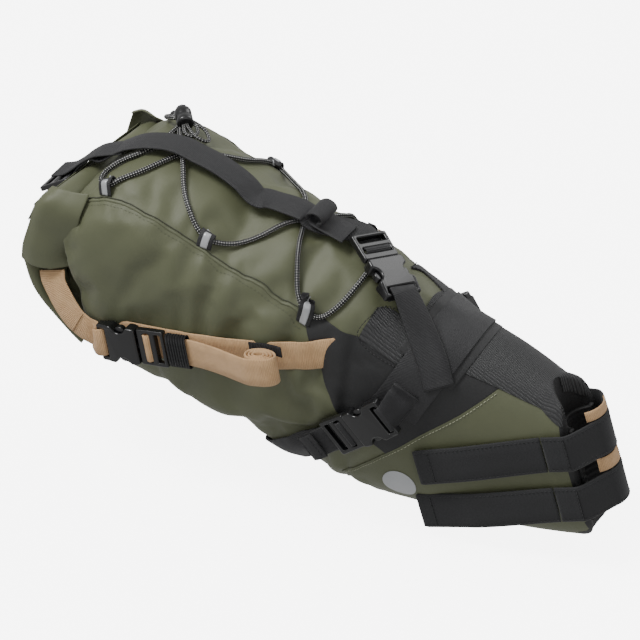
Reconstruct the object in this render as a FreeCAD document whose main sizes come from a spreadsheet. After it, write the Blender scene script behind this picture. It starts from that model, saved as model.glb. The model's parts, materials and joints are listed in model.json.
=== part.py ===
import FreeCAD, Part
import math
import os

# Bikepacking seat pack. X points forward, Y to the left, Z up, in millimetres.
# The origin is on the seatpost's axis, within the height of the two seatpost straps.
# The axis leans back, so the nose and its straps are laid out along the lean.

Vector = FreeCAD.Vector
doc = FreeCAD.newDocument("seat_pack")

# ---------------------------------------------------------------- dimensions
DIMENSIONS = {
    "post_radius": 15.8,
    "post_lean": 17.0,
    "pad_face": 3.0,
    "pad_thick": 4.0,
    "pad_width": 44.0,
    "pad_height": 82.0,
    "strap_width": 32.0,
    "strap_pitch": 46.0,
    "strap_rise": 12.0,
    "strap_thick": 2.4,
    "web_width": 25.0,
    "web_thick": 1.8,
    "band_width": 38.0,
    "panel_thick": 0.9,
    "roll_width": 156.0,
    "roll_height": 76.0,
    "roll_thick": 27.0,
    "strip_thick": 1.6,
    "buckle_width": 34.0,
    "female_length": 36.0,
    "female_thick": 11.0,
    "male_length": 25.0,
    "male_thick": 6.0,
    "cavity_depth": 24.0,
    "cavity_width": 26.0,
    "cavity_height": 6.6,
    "arm_length": 18.0,
    "arm_thick": 3.0,
    "arm_offset": 6.0,
    "arm_height": 5.4,
    "slot_length": 5.0,
    "cord_diameter": 4.0,
    "lock_radius": 7.0,
    "lock_length": 18.0,
    "button_radius": 5.2,
    "button_travel": 3.0,
    "spring_wire": 0.7,
    "disc_radius": 15.0,
    "tail_radius": 13.0,
}

sheet = doc.addObject("Spreadsheet::Sheet", "dimensions")
for row, (alias, value) in enumerate(DIMENSIONS.items(), start=1):
    sheet.set(f"A{row}", alias)
    sheet.set(f"B{row}", str(value))
    sheet.setAlias(f"B{row}", alias)
doc.recompute()


def size(alias):
    """A driving dimension, read back from the sheet."""
    return float(sheet.get(alias))


LEAN = math.radians(size("post_lean"))
POST_AXIS = Vector(-math.sin(LEAN), 0, math.cos(LEAN))
POST_FRONT = Vector(math.cos(LEAN), 0, math.sin(LEAN))
LEFT = Vector(0, 1, 0)
RIGHT_SIDE, LEFT_SIDE = -1, 1
GAP = 0.5

NODES = []


def node(obj, label, placement=None):
    """Names a finished object as a sub-part and puts it in its place."""
    obj.Label = label
    if placement is not None:
        obj.Placement = placement
    NODES.append(obj)
    return obj


def solid_node(label, shape):
    """A sub-part whose shape is worked out with Part's own functions."""
    feature = doc.addObject("Part::Feature", label)
    feature.Shape = shape
    return node(feature, label)


def primitive(kind, name, sizes, position=(0, 0, 0), turn=None):
    """A Part primitive whose sizes are bound to expressions on the sheet."""
    obj = doc.addObject(kind, name)
    for prop, expression in sizes.items():
        obj.setExpression(prop, expression)
    rotation = turn if turn is not None else FreeCAD.Rotation()
    obj.Placement = FreeCAD.Placement(Vector(*position), rotation)
    return obj


def box(name, length, width, height, centre):
    """A Part::Box centred on a point; each size is an expression, and each centre a number."""
    obj = doc.addObject("Part::Box", name)
    obj.setExpression("Length", length)
    obj.setExpression("Width", width)
    obj.setExpression("Height", height)
    doc.recompute()
    half = Vector(obj.Length.Value / 2, obj.Width.Value / 2, obj.Height.Value / 2)
    obj.Placement = FreeCAD.Placement(Vector(*centre) - half, FreeCAD.Rotation())
    return obj


def cut(name, base, tools):
    """base less every tool, as a chain of Part::Cut objects."""
    for index, tool in enumerate(tools):
        result = doc.addObject("Part::Cut", f"{name}_cut{index}")
        result.Base = base
        result.Tool = tool
        base = result
    return base


def fuse(name, shapes):
    result = doc.addObject("Part::MultiFuse", name)
    result.Shapes = shapes
    return result


# ---------------------------------------------------------------- bag's form
# Each station is a section of the packed bag: place along X, half width, top
# and bottom heights, and the exponent of its superellipse (2 is an ellipse).
STATIONS = [
    (-470, 66, 98, 44, 3.0),
    (-457, 75, 124, 30, 3.2),
    (-441, 78, 150, 20, 3.6),
    (-420, 79, 170, 12, 4.0),
    (-395, 79, 181, 4, 3.8),
    (-316, 78, 167, -22, 2.8),
    (-229, 75, 144, -55, 2.2),
    (-165, 66, 118, -68, 2.2),
    (-103, 52, 94, -70, 2.4),
    (-43, 37, 71, -66, 2.6),
    (0, 29, 52, -59, 2.6),
    (30, 27, 40, -52, 2.6),
]
SECTION_POINTS = 20


def power(value, exponent):
    return math.copysign(abs(value) ** exponent, value)


def section_wire(station, skin):
    """One section of the bag, grown outwards by a skin's thickness."""
    x, half, top, bottom, exponent = station
    middle, rise = (top + bottom) / 2, (top - bottom) / 2
    points = []
    for step in range(SECTION_POINTS):
        angle = 2 * math.pi * (step + 0.5) / SECTION_POINTS
        across = (half + skin) * power(math.cos(angle), 2 / exponent)
        up = (rise + skin) * power(math.sin(angle), 2 / exponent)
        points.append(Vector(x, across, middle + up))
    curve = Part.BSplineCurve()
    curve.interpolate(Points=points, PeriodicFlag=True)
    return Part.Wire([curve.toShape()])


def bag_form(skin):
    """The packed bag's outer form, grown outwards by a skin's thickness."""
    return Part.makeLoft([section_wire(s, skin) for s in STATIONS], True, False)


def crossings(point, direction):
    """Where a line meets the bag's curved wall."""
    wall = max(form(0).Faces, key=lambda face: face.Area).Surface
    met = Part.Line(point, point + direction).intersectCS(wall)[0]
    return [Vector(p.X, p.Y, p.Z) for p in met]


def side_reach(x, z):
    """Half width of the bag at a place along X and a height."""
    return max(p.y for p in crossings(Vector(x, 0, z), Vector(0, 1, 0)))


def top_height(x, y):
    """Height of the bag's top at a place along X and Y."""
    return max(p.z for p in crossings(Vector(x, y, 0), Vector(0, 0, 1)))


def block(corner, along, up, length, width, height):
    """A box with one corner given and its length and height along two directions."""
    across = up.cross(along)
    turn = FreeCAD.Rotation(along, across, up, "XZY")
    shape = Part.makeBox(length, width, height)
    shape.Placement = FreeCAD.Placement(corner, turn)
    return shape


def centred_block(centre, along, up, length, width, height):
    across = up.cross(along)
    corner = centre - along * (length / 2) - across * (width / 2) - up * (height / 2)
    return block(corner, along, up, length, width, height)


FORMS = {}


def form(skin):
    if skin not in FORMS:
        FORMS[skin] = bag_form(skin)
    return FORMS[skin]


def skin_piece(inner, outer, prism):
    """The part of a skin round the bag, between two thicknesses, inside a prism."""
    return form(outer).common(prism).cut(form(inner))


# The nose is cut off square to the seatpost, behind the pad that faces it.
NOSE_CUT = size("pad_face") + size("pad_thick")
NOSE_FRONT = centred_block(POST_FRONT * (200 - NOSE_CUT), POST_FRONT, POST_AXIS, 400, 400, 600)

# ---------------------------------------------------------------- inner pieces
stiffener_centre = Vector(-110, 0, -46)
base_stiffener = centred_block(
    stiffener_centre, Vector(1, 0, 0), Vector(0, 0, 1), 130, 44, size("strip_thick")
)
solid_node("base_stiffener", base_stiffener)

roll_lean = FreeCAD.Rotation(Vector(0, 0, 1), -5).multiply(FreeCAD.Rotation(LEFT, 24))
ROLL_CENTRE = Vector(-452, 0, 124)
roll_along = roll_lean.multVec(Vector(1, 0, 0))
roll_up = roll_lean.multVec(Vector(0, 0, 1))
mouth_strip = centred_block(
    ROLL_CENTRE, roll_along, roll_up, size("strip_thick"), size("roll_width") - 14, 20
)
solid_node("mouth_strip", mouth_strip)

# ---------------------------------------------------------------- soft shell
post_line = Part.makeCylinder(size("post_radius"), 300, POST_AXIS * -150, POST_AXIS)
pad_bed = Part.makeCylinder(size("post_radius") + size("pad_thick"), 300, POST_AXIS * -150, POST_AXIS)
main_bag = form(0).cut(NOSE_FRONT).cut(base_stiffener).cut(pad_bed).cut(mouth_strip)

roll = centred_block(
    ROLL_CENTRE, roll_along, roll_up, size("roll_thick"), size("roll_width"), size("roll_height")
)
long_edges = [e for e in roll.Edges if abs(e.Length - size("roll_width")) < 0.01]
roll = roll.makeFillet(size("roll_thick") * 0.45, long_edges)
solid_node("roll_closure", roll.cut(mouth_strip).cut(form(0)))

# The pad lines the nose's front and the half-round bed that the seatpost lies in.
pad_depth = size("post_radius") + size("pad_thick") - size("pad_face")
pad_middle = POST_AXIS * (size("strap_rise") / 2)
pad_block = centred_block(pad_middle - POST_FRONT * (size("pad_face") + pad_depth / 2), POST_FRONT,
                          POST_AXIS, pad_depth, size("pad_width"), size("pad_height"))
pad_face = centred_block(pad_middle - POST_FRONT * (size("pad_face") + size("pad_thick") / 2),
                         POST_FRONT, POST_AXIS, size("pad_thick"), size("pad_width"),
                         size("pad_height"))
seatpost_pad = pad_block.common(pad_bed).fuse(pad_face).cut(post_line).removeSplitter()

panel = size("panel_thick")


def side_prism(points, side):
    """A prism along Y over one side of the bag, from an outline in X and Z."""
    corners = [Vector(x, 0, z) for x, z in points]
    face = Part.Face(Part.makePolygon(corners + corners[:1]))
    return face.extrude(Vector(0, side * 200, 0))


TOP_PANEL = [(-150, 92), (-103, 80), (-43, 60), (20, 26), (20, 130), (-150, 130)]
nose_top = skin_piece(0, panel, side_prism(TOP_PANEL, 1).fuse(side_prism(TOP_PANEL, -1)))
solid_node("nose_top_panel", nose_top.cut(NOSE_FRONT).cut(pad_bed))

REINFORCEMENT = [(-232, 112), (-193, 32), (-156, 3), (-100, 49), (-73, 74), (-73, 130),
                 (-146, 130), (-146, 104), (-179, 117), (-186, 97)]
COARSE_PATCH = [(-179, 117), (-186, 97), (-151, 81), (-147, 105)]
for side, name in ((RIGHT_SIDE, "right"), (LEFT_SIDE, "left")):
    plain = skin_piece(0, panel, side_prism(REINFORCEMENT, side)).cut(NOSE_FRONT)
    plain = plain.cut(nose_top)
    patch = skin_piece(panel, 2 * panel, side_prism(COARSE_PATCH, side))
    solid_node(f"side_panel_{name}", plain)
    solid_node(f"coarse_patch_{name}", patch)

disc = Part.makeCylinder(size("disc_radius"), 200, Vector(-152, 0, -32), LEFT * -1)
solid_node("reflective_disc", skin_piece(0, panel, disc))

# ---------------------------------------------------------------- harness and belly strap
# The band goes steeply over the top; the belly strap slopes down and back from its ends.
JOIN = Vector(-148, 0, 50)
BAND_TILT = math.radians(62)
BELLY_TILT = math.radians(38)
web_under = 2 * panel + 0.1
web_over = web_under + size("web_thick")


def tilted(angle):
    """The direction up along a tilted strap, in the X-Z plane."""
    return Vector(math.cos(angle), 0, math.sin(angle))


def ring_part(width, angle, low, high):
    """Part of a strap that rings the bag in a tilted plane, measured up from the join."""
    up = tilted(angle)
    normal = up.cross(LEFT)
    middle = JOIN + up * ((low + high) / 2)
    slab = centred_block(middle, normal, up, width, 400, high - low)
    return skin_piece(web_under, web_over, slab)


harness = ring_part(size("band_width"), BAND_TILT, 0, 160)
solid_node("harness_band", harness)
solid_node("belly_strap", ring_part(size("web_width"), BELLY_TILT, -260, 4).cut(harness))


# ---------------------------------------------------------------- side-release buckle
# A buckle is drawn with its mouth at the origin: the female half lies along +X,
# the male half along -X, the webbing's width is along Y, and Z is its thickness.
MALE_GAP = 0.6
ARM_PIVOT = 2.0


def make_female(name, placement):
    length, width, thick = size("female_length"), size("buckle_width"), size("female_thick")
    body = box(f"{name}_block", "dimensions.female_length", "dimensions.buckle_width",
               "dimensions.female_thick", (length / 2, 0, 0))
    mouth = box(f"{name}_mouth", "dimensions.cavity_depth + 1", "dimensions.cavity_width",
                "dimensions.cavity_height", (size("cavity_depth") / 2 - 0.5, 0, 0))
    bar_slot = box(f"{name}_bar_slot", "dimensions.slot_length", "dimensions.web_width + 1",
                   "dimensions.female_thick + 2", (length - size("slot_length"), 0, 0))
    windows = [
        box(f"{name}_window{index}", "dimensions.slot_length * 2.6", "dimensions.slot_length",
            "dimensions.female_thick + 2", (15, side * (width / 2 - 1.8), 0))
        for index, side in enumerate((RIGHT_SIDE, LEFT_SIDE))
    ]
    taper = box(f"{name}_taper", "dimensions.slot_length * 3", "dimensions.buckle_width + 2",
                "dimensions.female_thick", (length - 2, 0, thick - 2.5))
    return node(cut(name, body, [mouth, bar_slot, taper] + windows), name, placement)


def make_male(name, placement):
    length = size("male_length")
    frame = box(f"{name}_block", "dimensions.male_length", "dimensions.buckle_width",
                "dimensions.male_thick", (-length / 2 - MALE_GAP, 0, 0))
    slots = [
        box(f"{name}_slot{index}", "dimensions.slot_length", "dimensions.web_width + 1",
            "dimensions.male_thick + 2", (-MALE_GAP - at * length, 0, 0))
        for index, at in enumerate((0.35, 0.75))
    ]
    tongue = box(f"{name}_tongue", "dimensions.arm_length * 0.7", "dimensions.arm_thick",
                 "dimensions.arm_height", (size("arm_length") * 0.35 - MALE_GAP, 0, 0))
    return node(fuse(name, [cut(name, frame, slots), tongue]), name, placement)


def make_arm(name, side, placement):
    length, thick = size("arm_length"), size("arm_thick")
    beam = box(f"{name}_beam", "dimensions.arm_length", "dimensions.arm_thick",
               "dimensions.arm_height",
               (0.2 + length / 2, side * (size("arm_offset") + thick / 2), 0))
    hook = box(f"{name}_hook", "dimensions.arm_length * 0.5", "dimensions.arm_thick * 2.5",
               "dimensions.arm_height",
               (15, side * (size("arm_offset") + thick * 2.25), 0))
    return node(fuse(name, [beam, hook]), name, placement)


def make_buckle(name, placement):
    make_female(f"{name}_female", placement)
    make_male(f"{name}_male", placement)
    make_arm(f"{name}_arm_a", LEFT_SIDE, placement)
    make_arm(f"{name}_arm_b", RIGHT_SIDE, placement)


def facing(origin, along, outward):
    """A placement whose X runs along a strap and whose Z faces away from the bag."""
    across = outward.cross(along)
    return FreeCAD.Placement(origin, FreeCAD.Rotation(along, across, outward, "XZY"))


def settled(origin, along, outward, behind):
    """Lowers a buckle until it and what is behind its mouth just clear the webbing."""
    corner = Vector(-behind, -size("buckle_width") / 2, -size("female_thick") / 2)
    envelope = Part.makeBox(size("female_length") + behind, size("buckle_width"),
                            size("female_thick"), corner)
    for _ in range(4):
        moved = envelope.copy()
        moved.Placement = facing(origin, along, outward)
        origin = origin - outward * (moved.distToShape(form(web_over))[0] - GAP)
    return facing(origin, along, outward)


def side_buckle_place(side, x, z, along, splay, behind):
    """Where a buckle sits on the bag's side; along points from male to female."""
    outward = Vector(math.sin(math.radians(splay)), side * math.cos(math.radians(splay)), 0)
    outward = (outward - along * outward.dot(along)).normalize()
    return settled(Vector(x, side * (side_reach(x, z) + 30), z), along, outward, behind)


# The male half travels this far when it is released; a side strap's rolled tail lies behind it.
TRAVEL = 28.0
MALE_REACH = size("male_length") + TRAVEL
TAIL_REACH = 134.0
TAN_SLOPE = math.radians(10)
TAN_ALONG = Vector(-math.cos(TAN_SLOPE), 0, -math.sin(TAN_SLOPE))
TAN_MOUTH = (-362, 56)
BELLY_MOUTH = (-173, 31)
BELLY_ALONG = tilted(BELLY_TILT)
BELLY_SPLAY = 10
PLACES = {}
for side, name in ((RIGHT_SIDE, "right"), (LEFT_SIDE, "left")):
    PLACES[f"side_buckle_{name}"] = side_buckle_place(side, *TAN_MOUTH, TAN_ALONG, 0, TAIL_REACH)
    PLACES[f"belly_buckle_{name}"] = side_buckle_place(side, *BELLY_MOUTH, BELLY_ALONG, BELLY_SPLAY,
                                                       MALE_REACH)

# ---------------------------------------------------------------- tan side straps
def tan_slab(start, end):
    middle = (Vector(start[0], 0, start[1]) + Vector(end[0], 0, end[1])) / 2
    along = Vector(end[0] - start[0], 0, end[1] - start[1])
    length = along.Length
    along.normalize()
    return centred_block(middle, along, LEFT, length, size("web_width"), 400)


def half_space(side):
    return Part.makeBox(900, 400, 900, Vector(-700, 0 if side > 0 else -400, -400))


for side, name in ((RIGHT_SIDE, "right"), (LEFT_SIDE, "left")):
    front = skin_piece(web_under, web_over, tan_slab((-372, 58), (-206, 82)))
    rear = skin_piece(web_under, web_over, tan_slab((-452, 80), (-404, 46)))
    solid_node(f"side_strap_front_{name}", front.common(half_space(side)))
    solid_node(f"side_strap_rear_{name}", rear.common(half_space(side)))

    # The spare webbing comes out of the male half, through the keeper, to a rolled-up tail.
    place = PLACES[f"side_buckle_{name}"]
    keeper = Part.makeBox(20, 29, 6, Vector(-MALE_GAP - size("male_length") - 21, -14.5, -2.6))
    keeper_hole = Part.makeBox(60, 26, 3.4, Vector(-70, -13, -1.2))
    keeper = keeper.cut(keeper_hole)
    keeper.Placement = place
    solid_node(f"strap_keeper_{name}", keeper)
    tail = Part.makeBox(80, 25, size("web_thick"), Vector(-MALE_GAP - size("male_length") - 81, -12.5, -0.4))
    tail.Placement = place
    solid_node(f"strap_tail_{name}", tail)
    coil = Part.makeCylinder(size("tail_radius"), size("web_width"), Vector(-120.2, -12.5, 8), LEFT)
    coil.Placement = place
    solid_node(f"rolled_tail_{name}", coil)

# ---------------------------------------------------------------- top strap and its buckle
# The cord's centre lies REST above the bag, and OVER where one run crosses another.
REST, OVER = 2.9, 7.1
TOP_BUCKLE = (-178, -10)
TOP_YAW = math.radians(-31)


def top_point(x, y, lift):
    return Vector(x, y, top_height(x, y) + lift)


strap_low = OVER + size("cord_diameter") / 2 + 0.2
top_slab = Part.makeBox(246, size("web_width"), 400, Vector(-458, -size("web_width") / 2, 60))
top_strap = form(strap_low + size("web_thick")).common(top_slab).cut(form(strap_low)).cut(roll)
solid_node("top_strap", top_strap)
top_fall = math.atan2(top_height(-214, 0) - top_height(-154, 0), 60)
top_along = Vector(math.cos(TOP_YAW) * math.cos(top_fall), math.sin(TOP_YAW), -math.sin(top_fall))
top_along.normalize()
top_outward = Vector(math.sin(top_fall), 0, math.cos(top_fall))
top_outward = (top_outward - top_along * top_outward.dot(top_along)).normalize()
top_place = settled(top_point(*TOP_BUCKLE, 40), top_along, top_outward, MALE_REACH)
over_cord = FreeCAD.Placement(top_outward * size("cord_diameter"), FreeCAD.Rotation())
PLACES["top_buckle"] = over_cord.multiply(top_place)

for name, place in PLACES.items():
    make_buckle(name, place)

for name, corner in (("upper", Vector(-475, -7, 139)), ("lower", Vector(-484, -7, 119))):
    place = FreeCAD.Placement(corner, FreeCAD.Rotation(LEFT, -16))
    plate = box(f"rear_plate_{name}_block", "dimensions.male_length", "dimensions.buckle_width * 0.9",
                "dimensions.male_thick * 0.7", (0, 0, 0))
    slots = [
        box(f"rear_plate_{name}_slot{index}", "dimensions.slot_length * 0.8",
            "dimensions.web_width + 1", "dimensions.male_thick", (at, 0, 0))
        for index, at in enumerate((-5, 5))
    ]
    node(cut(f"rear_plate_{name}", plate, slots), f"rear_plate_{name}", place)

# ---------------------------------------------------------------- seatpost straps
flap_corner = 24.0


def nose_reach(along_front, height):
    """Half width of the nose at a distance along POST_FRONT and a height along POST_AXIS."""
    point = POST_FRONT * along_front + POST_AXIS * height
    return side_reach(point.x, point.z)


def to_post(shape):
    """Turns a shape drawn square to Z so that Z lies along the seatpost."""
    turned = shape.copy()
    turned.Placement = FreeCAD.Placement(
        Vector(), FreeCAD.Rotation(POST_FRONT, LEFT, POST_AXIS, "ZXY")
    ).multiply(shape.Placement)
    return turned


HINGES = {}
FLAP_LENGTHS = {"upper": 124, "lower": 138}
FLAP_CLEARANCE = 0.5
centreline = size("post_radius") + size("strap_thick") / 2


def band(edges, height):
    """A strap's band from a path in the plane across the seatpost, extruded along the post."""
    face = Part.Wire(edges).makeOffset2D(size("strap_thick") / 2, 2, True, True)
    face.translate(Vector(0, 0, height - size("strap_width") / 2))
    return to_post(face.extrude(Vector(0, 0, size("strap_width"))))


def straight_edges(points):
    return [Part.LineSegment(a, b).toShape() for a, b in zip(points, points[1:])]


def strap_path(height, side, backs, lift):
    """Points beside the nose, at distances back from the seatpost, standing clear of it."""
    points = []
    for back in backs:
        widest = max(nose_reach(-back, height + edge) for edge in (-15, 0, 15))
        points.append(Vector(-back, side * (widest + lift), 0))
    return points


def clear_strap(height, side, backs, extra_edges):
    """The tightest strap on that path that still stands clear of the nose."""
    lift = size("strap_thick")
    while True:
        path = strap_path(height, side, backs, lift)
        strap = band(straight_edges(path) + extra_edges(path[0]), height)
        if strap.distToShape(main_bag)[0] >= FLAP_CLEARANCE:
            return strap, path
        lift += 0.5


half_round = Part.Arc(Vector(0, centreline, 0), Vector(centreline, 0, 0),
                      Vector(0, -centreline, 0)).toShape()
for name, level in (("upper", 1), ("lower", -1)):
    height = size("strap_rise") + level * size("strap_pitch") / 2
    backs = (flap_corner, 55, 90, FLAP_LENGTHS[name])
    flap, flap_path = clear_strap(height, RIGHT_SIDE, backs, lambda corner: [])
    solid_node(f"strap_flap_{name}", flap)

    # The fixed part comes from the left side, round the post, to just short of the flap.
    near_end = flap_path[0] + Vector(3.2, 1.8, 0)
    far_path = strap_path(height, LEFT_SIDE, (80, 50, flap_corner), -flap_path[0].y
                          - strap_path(height, LEFT_SIDE, (flap_corner,), 0)[0].y)
    round_post = straight_edges(far_path + [Vector(0, centreline, 0)]) + [half_round]
    round_post += straight_edges([Vector(0, -centreline, 0), near_end])
    fixed_strap = band(round_post, height)
    solid_node(f"seatpost_strap_{name}", fixed_strap)
    # The fixed part is sewn on, so the soft shell and pad give way to it.
    main_bag = main_bag.cut(fixed_strap)
    seatpost_pad = seatpost_pad.cut(fixed_strap)
    HINGES[f"strap_flap_{name}"] = to_post(Part.Vertex(flap_path[0])).Point

inner_gap = size("strap_pitch") - size("strap_width") - 2 * GAP
keeper_outer, keeper_inner = size("post_radius") + 1.6, size("post_radius") + 0.2
keeper_webs = []
for low, tall in ((size("strap_rise") - inner_gap / 2, inner_gap),
                  (size("strap_rise") + size("strap_pitch") / 2 + 16.5, 9)):
    ring = Part.makeCylinder(keeper_outer, tall, Vector(0, 0, low), Vector(0, 0, 1), 100)
    ring = ring.cut(Part.makeCylinder(keeper_inner, tall, Vector(0, 0, low)))
    ring.rotate(Vector(), Vector(0, 0, 1), -60)
    keeper_webs.append(to_post(ring))
solid_node("loop_keeper_webs", Part.Compound(keeper_webs))
solid_node("main_bag", main_bag)
solid_node("seatpost_pad", seatpost_pad)

# ---------------------------------------------------------------- bungee cord
# Each point is a place on the bag's top and how far the cord's centre stands off it.
# The cord starts and ends at the cord lock, and is laced through three loops a side.
LOOP_Y = 56.0
LOOP_X = (-404, -317, -230)
BUNGEE = [
    (-385, 33, 6.0), (-386, 12, REST), (-388, -6, REST), (-397, -19, REST), (-409, -27, REST),
    (-416, -40, REST), (-413, -51, REST), (-404, -57, REST), (-395, -51, REST), (-384, -41, REST),
    (-374, -26, REST), (-366, -10, REST), (-355, 5, REST), (-341, 17, REST), (-328, 32, REST),
    (-322, 47, REST), (-316, 57, REST), (-305, 51, REST), (-288, 37, REST), (-274, 24, REST),
    (-265, 9, REST), (-257, -10, REST), (-251, -30, REST), (-245, -44, REST), (-238, -53, REST),
    (-230, -58, REST), (-219, -54, REST), (-208, -48, REST), (-200, -38, REST), (-196, -24, REST),
    (-195, -8, REST), (-198, 10, REST), (-206, 28, REST), (-218, 46, REST), (-229, 57, REST),
    (-234, 46, REST), (-238, 32, REST), (-244, 16, OVER - 1.5), (-254, 0, OVER),
    (-266, -17, OVER - 1.5), (-280, -34, REST), (-293, -44, REST), (-306, -51, REST),
    (-317, -57, REST), (-328, -54, REST), (-338, -47, REST), (-347, -37, REST),
    (-356, -23, OVER - 1.5), (-365, -9, OVER), (-374, 5, OVER - 1.5), (-383, 20, REST),
    (-391, 38, REST), (-400, 52, REST), (-406, 57, REST), (-409, 46, REST + 1),
    (-402, 34, REST + 3), (-390, 27, 9.0),
]


def rounded_path(points):
    """Straight runs joined by tangent arcs as large as each pair of runs allows."""
    edges, radii = [], []
    start = points[0]
    for before, corner, after in zip(points, points[1:], points[2:]):
        inward, outward = corner - before, after - corner
        shorter = min(inward.Length, outward.Length)
        inward.normalize()
        outward.normalize()
        half_turn = inward.getAngle(outward) / 2
        trim = 0.45 * shorter
        radius = trim / math.tan(half_turn)
        arc_start, arc_end = corner - inward * trim, corner + outward * trim
        towards = (outward - inward).normalize()
        middle = corner + towards * (radius / math.cos(half_turn) - radius)
        edges.append(Part.LineSegment(start, arc_start).toShape())
        edges.append(Part.Arc(arc_start, middle, arc_end).toShape())
        radii.append(radius)
        start = arc_end
    edges.append(Part.LineSegment(start, points[-1]).toShape())
    return Part.Wire(edges), radii


def tube(path, diameter):
    first = path.Edges[0]
    direction = first.tangentAt(first.FirstParameter)
    ring = Part.Circle(path.Vertexes[0].Point, direction, diameter / 2).toShape()
    return path.makePipeShell([Part.Wire([ring])], True, True)


cord_points = [top_point(x, y, lift) for x, y, lift in BUNGEE]
cord_path, cord_radii = rounded_path(cord_points)
cord = tube(cord_path, size("cord_diameter"))
section = math.pi * size("cord_diameter") ** 2 / 4
print("bungee arc radii", [round(r, 1) for r in cord_radii])
print("bungee length", round(cord_path.Length, 1), "volume ratio",
      round(cord.Volume / (section * cord_path.Length), 4))
solid_node("bungee_cord", cord)

loops, tabs = [], []
for x in LOOP_X:
    for side in (RIGHT_SIDE, LEFT_SIDE):
        slope = math.degrees(math.atan2(top_height(x, 50) - top_height(x, 62), 12))
        base = top_point(x, side * (LOOP_Y + 3), 0)
        tilt = FreeCAD.Rotation(Vector(1, 0, 0), -side * slope)
        for store, width, low, tall in ((loops, 12, 0.2, 0.9), (tabs, 7, 5.6, 0.8)):
            strip = Part.makeBox(width, 14, tall, Vector(-width / 2, -7, low))
            strip.Placement = FreeCAD.Placement(base, tilt)
            store.append(strip)
solid_node("cord_loops", Part.Compound(loops))
solid_node("reflective_tabs", Part.Compound(tabs))

# ---------------------------------------------------------------- cord lock
LOCK_PLACE = FreeCAD.Placement(top_point(-380, 25, 12.5),
                               FreeCAD.Rotation(Vector(0, 0, 1), Vector(-0.6, 0.79, 0.05)))
barrel = primitive("Part::Cylinder", "cord_lock_barrel",
                   {"Radius": "dimensions.lock_radius", "Height": "dimensions.lock_length"})
barrel_bore = primitive("Part::Cylinder", "cord_lock_bore",
                        {"Radius": "dimensions.button_radius + 0.2",
                         "Height": "dimensions.lock_length"}, (0, 0, 2))
cord_hole = primitive("Part::Box", "cord_lock_hole",
                      {"Length": "dimensions.lock_radius * 3", "Width": "dimensions.cord_diameter",
                       "Height": "dimensions.cord_diameter * 1.2"}, (-10.5, -2, 8))
node(cut("cord_lock_body", barrel, [barrel_bore, cord_hole]), "cord_lock_body", LOCK_PLACE)
button = primitive("Part::Cylinder", "cord_lock_button_solid",
                   {"Radius": "dimensions.button_radius",
                    "Height": "dimensions.lock_length * 0.65"}, (0, 0, 10.5))
node(button, "cord_lock_button", LOCK_PLACE.multiply(button.Placement))
spring = primitive("Part::Torus", "cord_lock_spring_solid",
                   {"Radius1": "dimensions.button_radius - 1.4",
                    "Radius2": "dimensions.spring_wire"})
node(spring, "cord_lock_spring", LOCK_PLACE.multiply(FreeCAD.Placement(Vector(0, 0, 3.2), FreeCAD.Rotation())))

# ---------------------------------------------------------------- check and write
doc.recompute()
for obj in doc.Objects:
    if "Invalid" in obj.State or "Error" in obj.State:
        raise RuntimeError(f"{obj.Name} failed: {obj.State}")
for obj in NODES:
    if obj.Shape.isNull() or not obj.Shape.isValid():
        raise RuntimeError(f"{obj.Label} has no valid shape")

os.makedirs("parts", exist_ok=True)
for obj in NODES:
    obj.Shape.exportStep(os.path.join("parts", f"{obj.Label}.step"))
print(len(NODES), "sub-parts")

# ---------------------------------------------------------------- joint axes
for name, place in PLACES.items():
    print("buckle", name, list(place.Base), list(place.Rotation.multVec(Vector(1, 0, 0))),
          list(place.Rotation.multVec(Vector(0, 1, 0))), list(place.Rotation.multVec(Vector(0, 0, 1))))
for name, point in HINGES.items():
    print("hinge", name, list(point), list(POST_AXIS))
print("button", list(LOCK_PLACE.Base), list(LOCK_PLACE.Rotation.multVec(Vector(0, 0, 1))))
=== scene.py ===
import json
import math

import bmesh
import bpy
import numpy as np
from mathutils import Matrix, Vector, noise
from mathutils.bvhtree import BVHTree


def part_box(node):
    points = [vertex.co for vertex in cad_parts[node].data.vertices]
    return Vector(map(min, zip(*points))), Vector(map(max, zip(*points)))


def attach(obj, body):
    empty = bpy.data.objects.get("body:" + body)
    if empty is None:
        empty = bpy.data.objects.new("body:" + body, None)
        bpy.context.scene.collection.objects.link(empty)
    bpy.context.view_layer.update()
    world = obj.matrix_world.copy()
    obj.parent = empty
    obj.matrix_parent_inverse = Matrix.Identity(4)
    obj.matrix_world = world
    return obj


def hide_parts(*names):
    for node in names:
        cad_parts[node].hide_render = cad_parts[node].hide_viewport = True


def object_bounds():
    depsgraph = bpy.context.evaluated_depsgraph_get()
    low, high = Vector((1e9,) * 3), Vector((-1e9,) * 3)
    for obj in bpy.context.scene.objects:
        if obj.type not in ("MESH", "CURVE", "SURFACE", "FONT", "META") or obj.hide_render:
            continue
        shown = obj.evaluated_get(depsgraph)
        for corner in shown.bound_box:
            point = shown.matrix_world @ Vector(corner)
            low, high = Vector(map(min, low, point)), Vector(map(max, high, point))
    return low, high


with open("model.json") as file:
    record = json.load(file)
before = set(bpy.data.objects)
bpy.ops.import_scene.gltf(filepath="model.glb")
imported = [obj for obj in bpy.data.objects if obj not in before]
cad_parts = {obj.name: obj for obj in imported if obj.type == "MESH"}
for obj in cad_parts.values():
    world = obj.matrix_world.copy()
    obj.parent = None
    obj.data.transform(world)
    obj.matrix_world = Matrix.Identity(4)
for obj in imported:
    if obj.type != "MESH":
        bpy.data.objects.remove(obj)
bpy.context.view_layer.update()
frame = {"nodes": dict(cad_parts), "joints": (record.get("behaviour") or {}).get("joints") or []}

# Bikepacking seat pack: +X forward, +Y left, +Z up, in metres. Lengths below are in
# millimetres times MM. The seatpost's axis leans back through the origin.
MM = 0.001
LEFT = Vector((0, 1, 0))
UP = Vector((0, 0, 1))
POST_LEAN = math.radians(17)
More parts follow.
